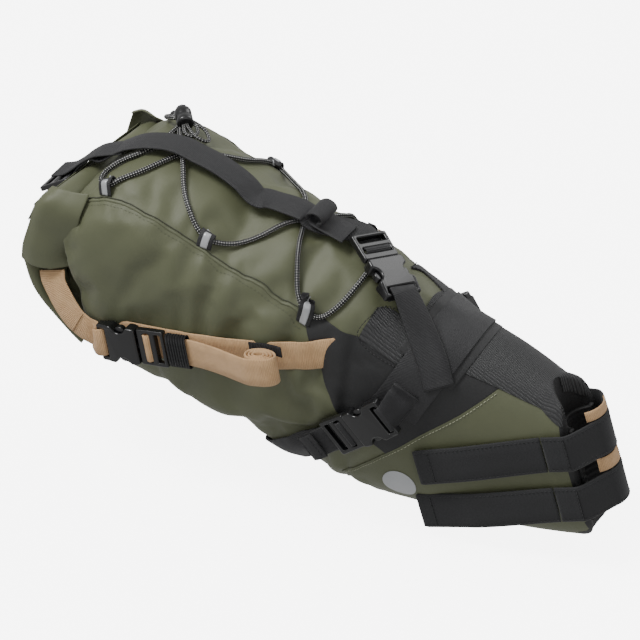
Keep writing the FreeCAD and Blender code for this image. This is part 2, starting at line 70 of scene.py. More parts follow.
POST_AXIS = Vector((-math.sin(POST_LEAN), 0, math.cos(POST_LEAN)))
POST_FRONT = Vector((math.cos(POST_LEAN), 0, math.sin(POST_LEAN)))
SIDES = (("right", -1), ("left", 1))


def mm(x, y, z):
    return Vector((x, y, z)) * MM


# ---------------------------------------------------------------- camera, light and floor
AZIMUTH, ELEVATION = math.radians(27.3), math.radians(35)
DISTANCE, LENS = 2.6, 183
AIM = mm(-246, -1, 63)


def place_camera():
    looking = Vector((-math.sin(AZIMUTH) * math.cos(ELEVATION),
                      math.cos(AZIMUTH) * math.cos(ELEVATION), -math.sin(ELEVATION)))
    camera = bpy.data.objects.new("camera", bpy.data.cameras.new("camera"))
    bpy.context.scene.collection.objects.link(camera)
    camera.data.lens = LENS
    camera.location = AIM - looking * DISTANCE
    camera.rotation_euler = looking.to_track_quat("-Z", "Y").to_euler()
    bpy.context.scene.camera = camera


def area_light(name, place, power, width):
    data = bpy.data.lights.new(name, "AREA")
    data.energy = power
    data.size = width
    light = bpy.data.objects.new(name, data)
    bpy.context.scene.collection.objects.link(light)
    light.location = place
    light.rotation_euler = (AIM - light.location).to_track_quat("-Z", "Y").to_euler()


def studio():
    area_light("key", (-1.3, -0.7, 2.3), 62, 1.0)
    area_light("fill", (1.7, -2.0, 1.0), 9, 1.8)
    area_light("back", (0.6, 2.0, 1.6), 20, 1.4)
    world = bpy.data.worlds.new("studio")
    world.use_nodes = True
    world.node_tree.nodes["Background"].inputs["Color"].default_value = (1, 1, 1, 1)
    world.node_tree.nodes["Background"].inputs["Strength"].default_value = 0.6
    bpy.context.scene.world = world


# ---------------------------------------------------------------- materials
def add(tree, kind, inputs=None, **settings):
    """A shader node with its settings; each input is a value or another node's socket."""
    made = tree.nodes.new("ShaderNode" + kind)
    for key, value in settings.items():
        setattr(made, key, value)
    for key, value in (inputs or {}).items():
        if isinstance(value, bpy.types.NodeSocket):
            tree.links.new(value, made.inputs[key])
        else:
            made.inputs[key].default_value = value
    return made


def waves(tree, along_pitch, across_pitch):
    """Sines of the lay coordinates, along and across a cloth, at two thread pitches."""
    lay = add(tree, "Attribute", attribute_name="lay").outputs["Vector"]
    scale = (2 * math.pi / along_pitch, 2 * math.pi / across_pitch, 0)
    scaled = add(tree, "VectorMath", {0: lay, 1: scale}, operation="MULTIPLY").outputs[0]
    split = add(tree, "SeparateXYZ", {0: scaled})
    return [add(tree, "Math", {0: split.outputs[axis]}, operation="SINE").outputs[0]
            for axis in ("X", "Y")]


def plain_weave(pitch):
    def height(tree):
        along, across = waves(tree, pitch, pitch)
        return add(tree, "Math", {0: along, 1: across}, operation="MULTIPLY").outputs[0]
    return height


def cross_ribs(pitch, thread):
    """Webbing: ribs across its width, with the finer threads that run along it."""
    def height(tree):
        along, across = waves(tree, pitch, thread)
        fine = add(tree, "Math", {0: across, 1: 0.35}, operation="MULTIPLY").outputs[0]
        return add(tree, "Math", {0: along, 1: fine}, operation="ADD").outputs[0]
    return height


def coarse_cells(pitch):
    """A basket weave: raised yarn ends in staggered rows."""
    def height(tree):
        along, across = waves(tree, pitch, pitch * 1.6)
        product = add(tree, "Math", {0: along, 1: across}, operation="MULTIPLY").outputs[0]
        return add(tree, "Math", {0: product}, operation="ABSOLUTE").outputs[0]
    return height


def bungee_flecks(tree):
    """Pale yarns that show as flecks where they come up through a dark braid."""
    lay = add(tree, "Attribute", attribute_name="lay").outputs["Vector"]
    turn = add(tree, "SeparateXYZ", {0: lay})
    along = add(tree, "Math", {0: turn.outputs["X"], 1: math.pi / (2.1 * MM)}, operation="MULTIPLY")
    round_cord = add(tree, "Math", {0: turn.outputs["Y"], 1: 3.0}, operation="MULTIPLY")
    waves_met = []
    for operation in ("ADD", "SUBTRACT"):
        phase = add(tree, "Math", {0: along.outputs[0], 1: round_cord.outputs[0]},
                    operation=operation)
        waves_met.append(add(tree, "Math", {0: phase.outputs[0]}, operation="SINE").outputs[0])
    met = add(tree, "Math", {0: waves_met[0], 1: waves_met[1]}, operation="MULTIPLY").outputs[0]
    return add(tree, "MapRange", {"Value": met, "From Min": 0.5, "From Max": 0.72}).outputs[0]


def fuzz(scale):
    def height(tree):
        place = add(tree, "TexCoord").outputs["Object"]
        return add(tree, "TexNoise", {"Vector": place, "Scale": scale, "Detail": 4.0}).outputs[0]
    return height


def blend_tones(tree, factor, first, second):
    """A colour mix; a Mix node's colour sockets are its seventh and eighth inputs."""
    mix = add(tree, "Mix", {0: factor, 6: first, 7: second}, data_type="RGBA")
    return mix.outputs[2]


def finish(name, dark, light, rough, pattern, bump, depth, mottle=60.0, metallic=0.0, sheen=0.0,
           coat=0.0, show=0.35, blotch=1.0, edge_highlight=None):
    """A material: two tones mixed by a soft mottle and the pattern, which also gives the bump.

    show and blotch are how much of the pattern and the mottle read as colour, and the last
    argument is the tone of a painted highlight laid on raised, convex edges.
    """
    material = bpy.data.materials.new(name)
    material.use_nodes = True
    tree = material.node_tree
    shader = tree.nodes["Principled BSDF"]
    shader.inputs["Metallic"].default_value = metallic
    shader.inputs["Sheen Weight"].default_value = sheen
    shader.inputs["Coat Weight"].default_value = coat
    place = add(tree, "TexCoord").outputs["Object"]
    cloud = add(tree, "TexNoise", {"Vector": place, "Scale": mottle, "Detail": 5.0}).outputs[0]
    height = pattern(tree)
    shown = add(tree, "Math", {0: height, 1: show}, operation="MULTIPLY").outputs[0]
    mixed = add(tree, "Math", {0: cloud, 1: blotch, 2: shown}, operation="MULTIPLY_ADD",
                use_clamp=True).outputs[0]
    colour = blend_tones(tree, mixed, (*dark, 1), (*light, 1))
    # Raised, convex edges are lightened towards the last argument's tone: a painted highlight.
    if edge_highlight:
        edge = add(tree, "NewGeometry").outputs["Pointiness"]
        edge_highlight_mask = add(tree, "MapRange", {"Value": edge, "From Min": 0.53, "From Max": 0.62,
                                      "To Max": 0.5}).outputs[0]
        colour = blend_tones(tree, edge_highlight_mask, colour, (*edge_highlight, 1))
    tree.links.new(colour, shader.inputs["Base Color"])
    gloss = add(tree, "MapRange", {"Value": cloud, "To Min": rough[0], "To Max": rough[1]})
    tree.links.new(gloss.outputs[0], shader.inputs["Roughness"])
    raised = add(tree, "Bump", {"Height": height, "Strength": bump, "Distance": depth})
    tree.links.new(raised.outputs["Normal"], shader.inputs["Normal"])
    return material


THREAD = 0.55 * MM
# The olive's lighter tone on raised, convex edges is a painted highlight.
OLIVE = finish("olive_fabric", (0.076, 0.083, 0.041), (0.100, 0.108, 0.056), (0.46, 0.58),
               plain_weave(THREAD), 0.25, 0.1 * MM, mottle=35.0, sheen=0.06, show=0.12,
               edge_highlight=(0.12, 0.13, 0.08))
# A darker olive for the dark line along the top seams: painted shade, not a colour of the cloth.
OLIVE_PAINTED_SHADE = finish("olive_fold", (0.035, 0.039, 0.021), (0.05, 0.055, 0.03), (0.6, 0.7),
                    plain_weave(THREAD), 0.25, 0.1 * MM, mottle=35.0, show=0.1)
BLACK_CLOTH = finish("black_fabric", (0.0055, 0.0056, 0.006), (0.0105, 0.0108, 0.0115), (0.5, 0.64),
                     plain_weave(THREAD), 0.3, 0.12 * MM, mottle=50.0, sheen=0.04, show=0.15)
COARSE = finish("coarse_weave", (0.0035, 0.0035, 0.004), (0.05, 0.051, 0.052), (0.42, 0.6),
                coarse_cells(2.3 * MM), 0.9, 0.5 * MM, mottle=90.0, show=1.1, blotch=0.12)
TAN = finish("tan_webbing", (0.46, 0.27, 0.127), (0.68, 0.44, 0.23), (0.6, 0.75),
             cross_ribs(1.3 * MM, 0.9 * MM), 0.7, 0.3 * MM, mottle=120.0, sheen=0.1, show=0.25)
BLACK_WEB = finish("black_webbing", (0.006, 0.006, 0.007), (0.013, 0.013, 0.0145), (0.5, 0.66),
                   cross_ribs(1.1 * MM, 0.9 * MM), 0.5, 0.22 * MM, mottle=80.0, sheen=0.05,
                   show=0.18)
ELASTIC = finish("ribbed_elastic", (0.003, 0.003, 0.0035), (0.011, 0.011, 0.012), (0.55, 0.7),
                 cross_ribs(2.4 * MM, 0.8 * MM), 0.9, 0.5 * MM, mottle=80.0, show=0.4)
VELCRO = finish("hook_and_loop", (0.006, 0.0062, 0.007), (0.0145, 0.015, 0.0165), (0.7, 0.85),
                fuzz(900.0), 0.7, 0.5 * MM, mottle=45.0, sheen=0.1, show=0.2)
OLIVE_THREAD = finish("olive_thread", (0.05, 0.055, 0.03), (0.10, 0.11, 0.065), (0.6, 0.7),
                      fuzz(1500.0), 0.3, 0.1 * MM, show=0.3)
PAD = finish("pad_rubber", (0.005, 0.005, 0.0055), (0.011, 0.011, 0.0115), (0.6, 0.8),
             fuzz(500.0), 0.5, 0.3 * MM, mottle=60.0, show=0.2)
SLEEVE = finish("bungee_sleeve", (0.002, 0.002, 0.0025), (0.62, 0.62, 0.60), (0.45, 0.6),
                bungee_flecks, 0.8, 0.35 * MM, mottle=20.0, show=1.0, blotch=0.0)
GREY = finish("reflective_grey", (0.36, 0.37, 0.38), (0.50, 0.51, 0.52), (0.3, 0.42),
              plain_weave(0.5 * MM), 0.2, 0.05 * MM, mottle=40.0, metallic=0.35, show=0.1)
# The plastic's lighter tone on raised, convex edges is a painted highlight.
PLASTIC = finish("moulded_plastic", (0.0035, 0.0035, 0.004), (0.007, 0.007, 0.0075), (0.22, 0.34),
                 fuzz(700.0), 0.12, 0.1 * MM, mottle=30.0, coat=0.2, show=0.2,
                 edge_highlight=(0.035, 0.035, 0.038))
STEEL = finish("spring_steel", (0.4, 0.4, 0.41), (0.55, 0.55, 0.56), (0.25, 0.35),
               fuzz(300.0), 0.1, 0.05 * MM, metallic=1.0, show=0.1)
BOARD = finish("stiffener_board", (0.02, 0.02, 0.022), (0.035, 0.035, 0.037), (0.5, 0.6),
               fuzz(300.0), 0.2, 0.1 * MM, show=0.2)
LIGHT_THREAD = finish("light_thread", (0.22, 0.23, 0.15), (0.36, 0.37, 0.27), (0.6, 0.7),
                      fuzz(1500.0), 0.3, 0.1 * MM, show=0.3)
DARK_THREAD = finish("dark_thread", (0.012, 0.012, 0.013), (0.03, 0.03, 0.032), (0.5, 0.6),
                     fuzz(1500.0), 0.3, 0.1 * MM, show=0.3)
BROWN_THREAD = finish("brown_thread", (0.10, 0.055, 0.02), (0.17, 0.10, 0.04), (0.6, 0.7),
                      fuzz(1500.0), 0.3, 0.1 * MM, show=0.3)
FLOOR = finish("pale_floor", (0.80, 0.80, 0.80), (0.84, 0.84, 0.84), (0.7, 0.8), fuzz(8.0), 0.05,
               0.1 * MM, mottle=3.0, show=0.0)
FLOOR.node_tree.nodes["Principled BSDF"].inputs["Emission Color"].default_value = (1, 1, 1, 1)
FLOOR.node_tree.nodes["Principled BSDF"].inputs["Emission Strength"].default_value = 6.0


# ---------------------------------------------------------------- meshes and sweeps
def link(name, mesh, material, body):
    obj = bpy.data.objects.new(name, mesh)
    bpy.context.scene.collection.objects.link(obj)
    mesh.materials.clear()
    mesh.materials.append(material)
    mesh.shade_smooth()
    if body:
        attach(obj, body)
    return obj


def mesh_of(name, points, faces, lay=None):
    """A mesh; lay holds each point's place along and across the cloth, for its weave."""
    mesh = bpy.data.meshes.new(name)
    mesh.from_pydata([tuple(p) for p in points], [], faces)
    if lay is not None:
        attribute = mesh.attributes.new("lay", "FLOAT_VECTOR", "POINT")
        attribute.data.foreach_set("vector", np.asarray(lay, np.float32).ravel())
    mesh.update()
    return mesh


def settle_modifiers(obj):
    """Writes the object's modifiers into its mesh."""
    graph = bpy.context.evaluated_depsgraph_get()
    mesh = bpy.data.meshes.new_from_object(obj.evaluated_get(graph))
    obj.modifiers.clear()
    obj.data = mesh


def outward_faces(mesh):
    shape = bmesh.new()
    shape.from_mesh(mesh)
    bmesh.ops.recalc_face_normals(shape, faces=shape.faces)
    shape.to_mesh(mesh)
    shape.free()


def smooth_line(points, step=2.0 * MM):
    """A Catmull-Rom line through vectors of any length, at about even steps."""
    line = []
    ends = [2 * points[0] - points[1]] + list(points) + [2 * points[-1] - points[-2]]
    for a, b, c, d in zip(ends, ends[1:], ends[2:], ends[3:]):
        count = max(1, round(float(np.linalg.norm((c - b)[:3])) / step))
        for k in range(count):
            t = k / count
            line.append(0.5 * (2 * b + (c - a) * t + (2 * a - 5 * b + 4 * c - d) * t * t
                               + (3 * b - a - 3 * c + d) * t ** 3))
    line.append(points[-1])
    return line


def frames_along(line, outs):
    """Unit tangent, outward and sideways directions at each point of a line."""
    result = []
    for k, point in enumerate(line):
        before, after = line[max(k - 1, 0)], line[min(k + 1, len(line) - 1)]
        tangent = (after - before).normalized()
        side = tangent.cross(outs[k]).normalized()
        result.append((point, tangent, side.cross(tangent).normalized(), side))
    return result


def route(stops, step=2.0 * MM):
    """A smooth line and its outward directions from (point, outward) pairs."""
    packed = [np.array([*point, *out]) for point, out in stops]
    line = smooth_line(packed, step)
    return [Vector(p[:3]) for p in line], [Vector(p[3:]) for p in line]


def strap_section(half, edge):
    """A webbing's section: flat faces, a few points across, and rounded edges."""
    across = [-half, -half + edge, -half / 3, half / 3, half - edge, half]
    top = [(a, edge if 0 < k < 5 else 0) for k, a in enumerate(across)]
    under = [(a, -edge) for a in reversed(across[1:-1])]
    return top + under


def ribbon(name, stops, width, thick, material, body, step=2.0 * MM, taper=None):
    """A strap swept along (point, outward) stops; taper scales the width by its share done."""
    line, outs = route(stops, step)
    section = strap_section(width / 2, thick / 2)
    points, lay, faces = [], [], []
    run = 0.0
    count = len(section)
    for k, (point, _, out, side) in enumerate(frames_along(line, outs)):
        if k:
            run += (point - line[k - 1]).length
        scale = taper(k / (len(line) - 1)) if taper else 1.0
        for across, up in section:
            points.append(point + side * across * scale + out * up)
            lay.append((run, across, 0))
        if k:
            first, last = (k - 1) * count, k * count
            for n in range(count):
                m = (n + 1) % count
                faces.append((first + n, first + m, last + m, last + n))
    faces.append(tuple(range(count))[::-1])
    faces.append(tuple(range(len(points) - count, len(points))))
    mesh = mesh_of(name, points, faces, lay)
    outward_faces(mesh)
    return link(name, mesh, material, body)


def tube_mesh(name, line, radius, sides=12, closed_ends=True):
    """A round cord along a dense line, carrying its length and turn for the braid."""
    out = UP if abs((line[1] - line[0]).normalized().z) < 0.9 else LEFT
    points, lay, faces = [], [], []
    run = 0.0
    for k, point in enumerate(line):
        before, after = line[max(k - 1, 0)], line[min(k + 1, len(line) - 1)]
        tangent = (after - before).normalized()
        out = (out - tangent * out.dot(tangent)).normalized()
        side = tangent.cross(out)
        if k:
            run += (point - line[k - 1]).length
        for n in range(sides + 1):
            turn = 2 * math.pi * n / sides
            points.append(point + (out * math.cos(turn) + side * math.sin(turn)) * radius)
            lay.append((run, turn, 0))
        if k:
            first, last = (k - 1) * (sides + 1), k * (sides + 1)
            faces += [(first + n, first + n + 1, last + n + 1, last + n) for n in range(sides)]
    if closed_ends:
        faces.append(tuple(range(sides))[::-1])
        faces.append(tuple(range(len(points) - sides - 1, len(points) - 1)))
    return mesh_of(name, points, faces, lay)


def joined(name, meshes, material, body):
    """Several meshes as one object."""
    shape = bmesh.new()
    for mesh in meshes:
        shape.from_mesh(mesh)
        bpy.data.meshes.remove(mesh)
    mesh = bpy.data.meshes.new(name)
    shape.to_mesh(mesh)
    shape.free()
    return link(name, mesh, material, body)


def stitch_meshes(line, outs, lift=0.0, pitch=3.4 * MM, length=2.4 * MM, radius=0.32 * MM):
    """Short thread stitches along a line, each bowed up off the cloth."""
    meshes, due, run = [], pitch / 2, 0.0
    for k in range(1, len(line)):
        hop = (line[k] - line[k - 1]).length
        while hop > 0 and due <= run + hop:
            share = (due - run) / hop
            middle = line[k - 1].lerp(line[k], share)
            out = outs[k].normalized()
            tangent = (line[k] - line[k - 1]).normalized()
            arch = [middle + tangent * length * t + out * (lift + radius * (1.2 - 8 * t * t))
                    for t in (-0.5, -0.25, 0, 0.25, 0.5)]
            meshes.append(tube_mesh("stitch", arch, radius, 5))
            due += pitch
        run += hop
    return meshes


STITCHES = {}


def sew(body, thread, line, outs, **sizes):
    """Adds a row of stitches to those that one thread makes on one body."""
    STITCHES.setdefault((body, thread.name), []).extend(stitch_meshes(line, outs, **sizes))


# ---------------------------------------------------------------- bag's shell
COLUMNS = 132
TILT_START, NOSE_END = -150 * MM, -30.6 * MM
REAR_END = -469 * MM


def smoothstep(value):
    value = min(max(value, 0.0), 1.0)
    return value * value * (3 - 2 * value)


def bell(value, width):
    return math.exp(-(value / width) ** 2)


graph = bpy.context.evaluated_depsgraph_get()
cad_hull = BVHTree.FromObject(frame["nodes"]["main_bag"], graph)


def hull_point(origin, out):
    return cad_hull.ray_cast(origin + out * 0.4, -out)[0]


def even_ring(x):
    """The CAD shell's section at x, as points at even steps round it from the bottom."""
    tilt = POST_LEAN * smoothstep((x - TILT_START) / (NOSE_END - TILT_START))
    up = Vector((-math.sin(tilt), 0, math.cos(tilt)))
    centre = (hull_point(Vector((x, 0, 0.03)), up) + hull_point(Vector((x, 0, 0.03)), -up)) / 2
    probes = []
    for k in range(241):
        angle = math.pi * (2 * k / 240 - 0.5)
        probes.append(hull_point(centre, LEFT * -math.cos(angle) + up * math.sin(angle)))
    reach = np.cumsum([0.0] + [(b - a).length for a, b in zip(probes, probes[1:])])
    wanted = np.linspace(0, reach[-1], COLUMNS, endpoint=False)
    even = np.array([np.interp(wanted, reach, [p[axis] for p in probes]) for axis in range(3)]).T
    return [Vector(p) for p in even], centre


def shrunk(ring, centre, scale, shift):
    return [centre + (p - centre) * scale + shift for p in ring]


def fold_place(z):
    """Where the side panel's rear fold lies along X, at a height."""
    return float(np.interp(z / MM, (40, 67, 94, 107, 150, 170),
                           (-412, -417, -424, -428, -444, -452))) * MM


def sculpt(point, normal):
    """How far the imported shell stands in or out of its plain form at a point."""
    x, y, z = (c / MM for c in point)
    side = abs(y) / 60
    # The side panel ends in a soft fold, and the gusset is drawn in behind it.
    behind = smoothstep((fold_place(point.z) / MM - x) / 16)
    tall = smoothstep((z - 30) / 25) * smoothstep((158 - z) / 26)
    depth = -24 * behind * tall * smoothstep(abs(normal.y) * 2 - 0.4)
    # Puckers hang from the top seam, deepest where the strap pulls the bag in.
    top_z = 104 - (x + 230) * 0.43
    below = (top_z - z)
    hang = smoothstep((below + 4) / 10) * smoothstep((95 - below) / 80) * (1 if below > -6 else 0)
    reach = bell(x + 262, 62) + 0.35 * bell(x + 345, 50)
    ripple = (math.sin((x + 0.18 * below) / 4.6 + 1.4 * math.sin(x / 17.0))
              + 0.5 * math.sin(x / 8.3 + 2))
    depth += 2.6 * hang * reach * ripple * smoothstep(side)
    # Pulls run to the belly buckle from above and behind.
    run = math.hypot(x + 192, z - 16)
    angle = math.atan2(z - 16, -(x + 192))
    pull = smoothstep((run - 14) / 30) * smoothstep((120 - run) / 90) * smoothstep((-185 - x) / 10)
    depth += 3.4 * pull * math.sin(angle * 9 + 0.6) * smoothstep(side)
    # Broad soft dents all over.
    packed = noise.noise(Vector((x / 62, abs(y) / 48 + (3 if y > 0 else 0), z / 55)))
    small = noise.noise(Vector((x / 24 + 9, y / 22, z / 30)))
    soft = smoothstep((-60 - x) / 80)
    depth += (4.6 * packed + 1.6 * small) * (0.12 + 0.88 * soft)
    return depth * MM


def shell_mesh():
    """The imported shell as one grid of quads, with its rear and nose closed."""
    rings = []
    stations = np.concatenate([np.arange(REAR_END, -0.42, 3.2 * MM),
                               np.arange(-0.42, NOSE_END, 4.4 * MM), [NOSE_END]])
    for x in stations:
        rings.append(even_ring(float(x)))
    rear, nose = rings[0], rings[-1]
    back = Vector((-1, 0, -0.15))
    rear_rings = [(shrunk(rear[0], rear[1], scale, back * shift * MM), rear[1])
                  for scale, shift in ((0.05, 6), (0.3, 6), (0.55, 5.4), (0.75, 4.4), (0.9, 2.6))]
    front_rings = [(shrunk(nose[0], nose[1], scale, POST_FRONT * shift * MM), nose[1])
                   for scale, shift in ((0.99, 4), (0.975, 8), (0.955, 11), (0.92, 12.8),
                                        (0.84, 13.3), (0.7, 13.4), (0.6, 13.4), (0.5, 13.4),
                                        (0.4, 13.4), (0.3, 13.4), (0.2, 13.4), (0.08, 13.4))]
    rings = rear_rings + rings + front_rings
    points, lay = [], []
    for ring, _ in rings:
        girth = 0.0
        for k, point in enumerate(ring):
            girth += (point - ring[k - 1]).length if k else 0.0
            points.append(point)
            lay.append((point.x, girth, 0))
    faces = []
    for k in range(len(rings) - 1):
        first, last = k * COLUMNS, (k + 1) * COLUMNS
        for n in range(COLUMNS):
            m = (n + 1) % COLUMNS
            faces.append((first + n, last + n, last + m, first + m))
    faces.append(tuple(range(COLUMNS)))
    faces.append(tuple(range(len(points) - COLUMNS, len(points)))[::-1])
    mesh = mesh_of("bag_shell", points, faces, lay)
    outward_faces(mesh)
    return mesh


BED_RADIUS = 20.6 * MM


def clear_of_post(point):
    """Pushes the nose's front back out of the pad's half-round bed."""
    front = point.dot(POST_FRONT)
    if abs(point.y) < BED_RADIUS and front > -math.sqrt(BED_RADIUS ** 2 - point.y ** 2):
        return point - POST_FRONT * (front + math.sqrt(BED_RADIUS ** 2 - point.y ** 2))
    return point


CLOTH_FRAMES, CLOTH_CAP = 20, 7 * MM


def relax(obj, hold, cap=CLOTH_CAP, growth=0.035, pressure=4.0):
    """Lets the cloth, cut a little too large, find its own puckers between what holds it."""
    group = obj.vertex_groups.new(name="held")
    rest = [v.co.copy() for v in obj.data.vertices]
    for vertex in obj.data.vertices:
        group.add([vertex.index], hold(vertex.co, vertex.normal), "REPLACE")
    cloth = obj.modifiers.new("cloth", "CLOTH")
    cloth.settings.vertex_group_mass = "held"
    cloth.settings.quality = 6
    cloth.settings.mass = 0.25
    cloth.settings.bending_stiffness = 1.2
    cloth.settings.shrink_min = -growth
    cloth.settings.use_pressure = True
    cloth.settings.uniform_pressure_force = pressure
    cloth.settings.effector_weights.gravity = 0
    cloth.collision_settings.use_collision = False
    for step in range(1, CLOTH_FRAMES + 1):
        bpy.context.scene.frame_set(step)
    evaluated = obj.evaluated_get(bpy.context.evaluated_depsgraph_get())
    moved = [v.co.copy() for v in evaluated.data.vertices]
    obj.modifiers.remove(cloth)
    bpy.context.scene.frame_set(1)
    for vertex, start, end in zip(obj.data.vertices, rest, moved):
        push = end - start
        if push.length > cap:
            push *= cap / push.length
        vertex.co = start + push


SEAM_Y = 64 * MM


def shell_hold(point, normal):
    """How firmly seams, straps and the nose's stiffening hold the shell, from 0 to 1."""
    x, z = point.x / MM, point.z / MM
    seam = bell((abs(point.y) - SEAM_Y) / MM, 3.5) if normal.z > 0.2 else 0.0
    nose = smoothstep((x + 185) / 30)
    rear = smoothstep((-428 - x) / 14)
    up = (x + 152) * -math.sin(math.radians(38)) + (z - 40) * math.cos(math.radians(38))
    belly = bell(up, 16) if x < -140 else 0.0
    tan_line = 58 + (x + 372) * 0.145
    girdle = bell(z - tan_line, 16) if -372 < x < -206 else 0.0
    return min(1.0, max(seam, nose, rear, belly, 0.5 * girdle))


def make_shell():
    mesh = shell_mesh()
    normals = [v.normal.copy() for v in mesh.vertices]
    for vertex, normal in zip(mesh.vertices, normals):
        vertex.co += normal * sculpt(vertex.co, normal)
    shell = link("bag_shell", mesh, OLIVE, None)
    relax(shell, shell_hold)
    for vertex in shell.data.vertices:
        vertex.co = clear_of_post(vertex.co)
    shell.modifiers.new("smooth", "SUBSURF").levels = 1
    settle_modifiers(shell)
    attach(shell, "bag")
    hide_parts("main_bag")
    return shell


# ---------------------------------------------------------------- pieces laid on the shell
def cover(name, shell, walls, keep, lift, thick, material, smoothing=0, lay=None):
    """A cloth laid on the shell: the shell's surface, cut by walls, where keep says so.

    walls are planes as (point, normal), and keep tests a face's centre and normal.
    """
    shape = bmesh.new()
    shape.from_mesh(shell.data)
    for point, normal in walls:
        bmesh.ops.bisect_plane(shape, geom=shape.verts[:] + shape.edges[:] + shape.faces[:],
                               plane_co=point, plane_no=normal, dist=1e-7)
    unwanted = [f for f in shape.faces if not keep(f.calc_center_median(), f.normal)]
    bmesh.ops.delete(shape, geom=unwanted, context="FACES")
    bmesh.ops.dissolve_degenerate(shape, edges=shape.edges[:], dist=0.05 * MM)
    shape.normal_update()
    normals = {v: v.normal.copy() for v in shape.verts}
    inner = [v for v in shape.verts if not v.is_boundary]
    for _ in range(smoothing):
        bmesh.ops.smooth_vert(shape, verts=inner, factor=0.5, use_axis_x=True, use_axis_y=True,
                              use_axis_z=True)
    for vertex, normal in normals.items():
        vertex.co += normal * (lift + thick)
    mesh = bpy.data.meshes.new(name)
    shape.to_mesh(mesh)
    shape.free()
    if lay:
        values = [lay(v.co) for v in mesh.vertices]
        mesh.attributes["lay"].data.foreach_set("vector", np.asarray(values, np.float32).ravel())
    obj = link(name, mesh, material, None)
    shell_of = obj.modifiers.new("thickness", "SOLIDIFY")
    shell_of.thickness = thick
    shell_of.offset = -1
    round_edge = obj.modifiers.new("edge", "BEVEL")
    round_edge.width = thick * 0.3
    round_edge.segments = 2
    round_edge.limit_method = "ANGLE"
    round_edge.angle_limit = math.radians(50)
    settle_modifiers(obj)
    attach(obj, "bag")
    return obj


def outline_walls(outline):
    """Upright walls through each edge of an outline in X and Z."""
    walls = []
    for (x0, z0), (x1, z1) in zip(outline, outline[1:] + outline[:1]):
        walls.append((mm(x0, 0, z0), Vector((z1 - z0, 0, x0 - x1)).normalized()))
    return walls


def inside(outline, x, z):
    odd = False
    for (x0, z0), (x1, z1) in zip(outline, outline[1:] + outline[:1]):
        if (z0 > z) != (z1 > z) and x < x0 + (z - z0) * (x1 - x0) / (z1 - z0):
            odd = not odd
    return odd


def panel(name, shell, outline, side, lift, thick, material, smoothing=0, lay=None):
    """A cover whose outline is given in X and Z, on one side, or on both when side is 0."""
    def keep(centre, normal):
        here = inside(outline, centre.x / MM, centre.z / MM)
        return here and (side == 0 or centre.y * side > 0) and normal.dot(POST_FRONT) < 0.95
    walls = outline_walls(outline)
    if side:
        walls.append((Vector(), LEFT))
    return cover(name, shell, walls, keep, lift, thick, material, smoothing, lay)


class Surface:
    """The finished shell, asked where its skin is."""

    def __init__(self, shell):
        self.tree = BVHTree.FromObject(shell, bpy.context.evaluated_depsgraph_get())

    def top(self, x, y, lift=0.0):
        """A point above the bag's top, and the direction straight off it there."""
        hit, normal, *_ = self.tree.ray_cast(mm(x, y, 400), -UP)
        return hit + normal * lift * MM, normal

    def side(self, x, z, side, lift=0.0):
        hit, normal, *_ = self.tree.ray_cast(mm(x, side * 300, z), LEFT * -side)
        return hit + normal * lift * MM, normal

    def near(self, point, lift=0.0):
        hit, normal, *_ = self.tree.find_nearest(point)
        return hit + normal * lift * MM, normal

    def clear(self, point, gap):
        """The point, moved out if it is nearer the skin than gap."""
        hit, normal, *_ = self.tree.find_nearest(point)
        height = (point - hit).dot(normal)
        return point + normal * max(0.0, gap * MM - height)


REINFORCEMENT = [(-232, 112), (-193, 32), (-156, 3), (-100, 49), (-73, 74), (-73, 130),
                 (-146, 130), (-146, 104), (-179, 117), (-186, 97)]
COARSE_PATCH = [(-179, 117), (-186, 97), (-151, 81), (-147, 105)]
NOSE_TOP = [(-150, 92), (-103, 80), (-43, 60), (20, 26), (20, 130), (-150, 130)]
NOSE_SIDE = [(-198, -34), (-156, 3), (-100, 49), (-66, 80), (60, 60), (60, -120), (-198, -120)]
NOSE_SEAM = [(-196, -32), (-156, 3), (-128, 26), (-100, 49), (-86, 62), (-76, 71)]
DISC_CENTRE, DISC_RADIUS = (-146, -27), 14
JOIN = mm(-148, 0, 50)
BAND_TILT, BELLY_TILT = math.radians(62), math.radians(38)


def around(point):
    """Lay coordinates for a strap round the bag: its run over the top, and along X."""
    girth = math.atan2(point.y, point.z - 40 * MM) * 62 * MM
    return (girth, point.x, 0)


def nose_lay(point):
    return (point.x * 1.1, point.y, 0)


def tilted(angle):
    return Vector((math.cos(angle), 0, math.sin(angle)))


def ring_cover(name, shell, width, angle, low, high, lift, thick, material):
    up = tilted(angle)
    across = up.cross(LEFT)
    walls = [(JOIN + across * width / 2, across), (JOIN - across * width / 2, across),
             (JOIN + up * low, up), (JOIN + up * high, up)]

    def keep(centre, normal):
        offset = centre - JOIN
        return abs(offset.dot(across)) < width / 2 and low < offset.dot(up) < high
    return cover(name, shell, walls, keep, lift, thick, material, 6, around)


def edge_line(skin, outline, side, lift, inset=0.0, step=1.5 * MM):
    """A line on the skin over an outline in X and Z, with its outward directions."""
    flat = smooth_line([np.array([x, z + inset, 0.0]) for x, z in outline], step / MM)
    line, outs = [], []
    for x, z, _ in flat:
        point, out = skin.side(x, z, side, lift)
        line.append(point)
        outs.append(out)
    return line, outs


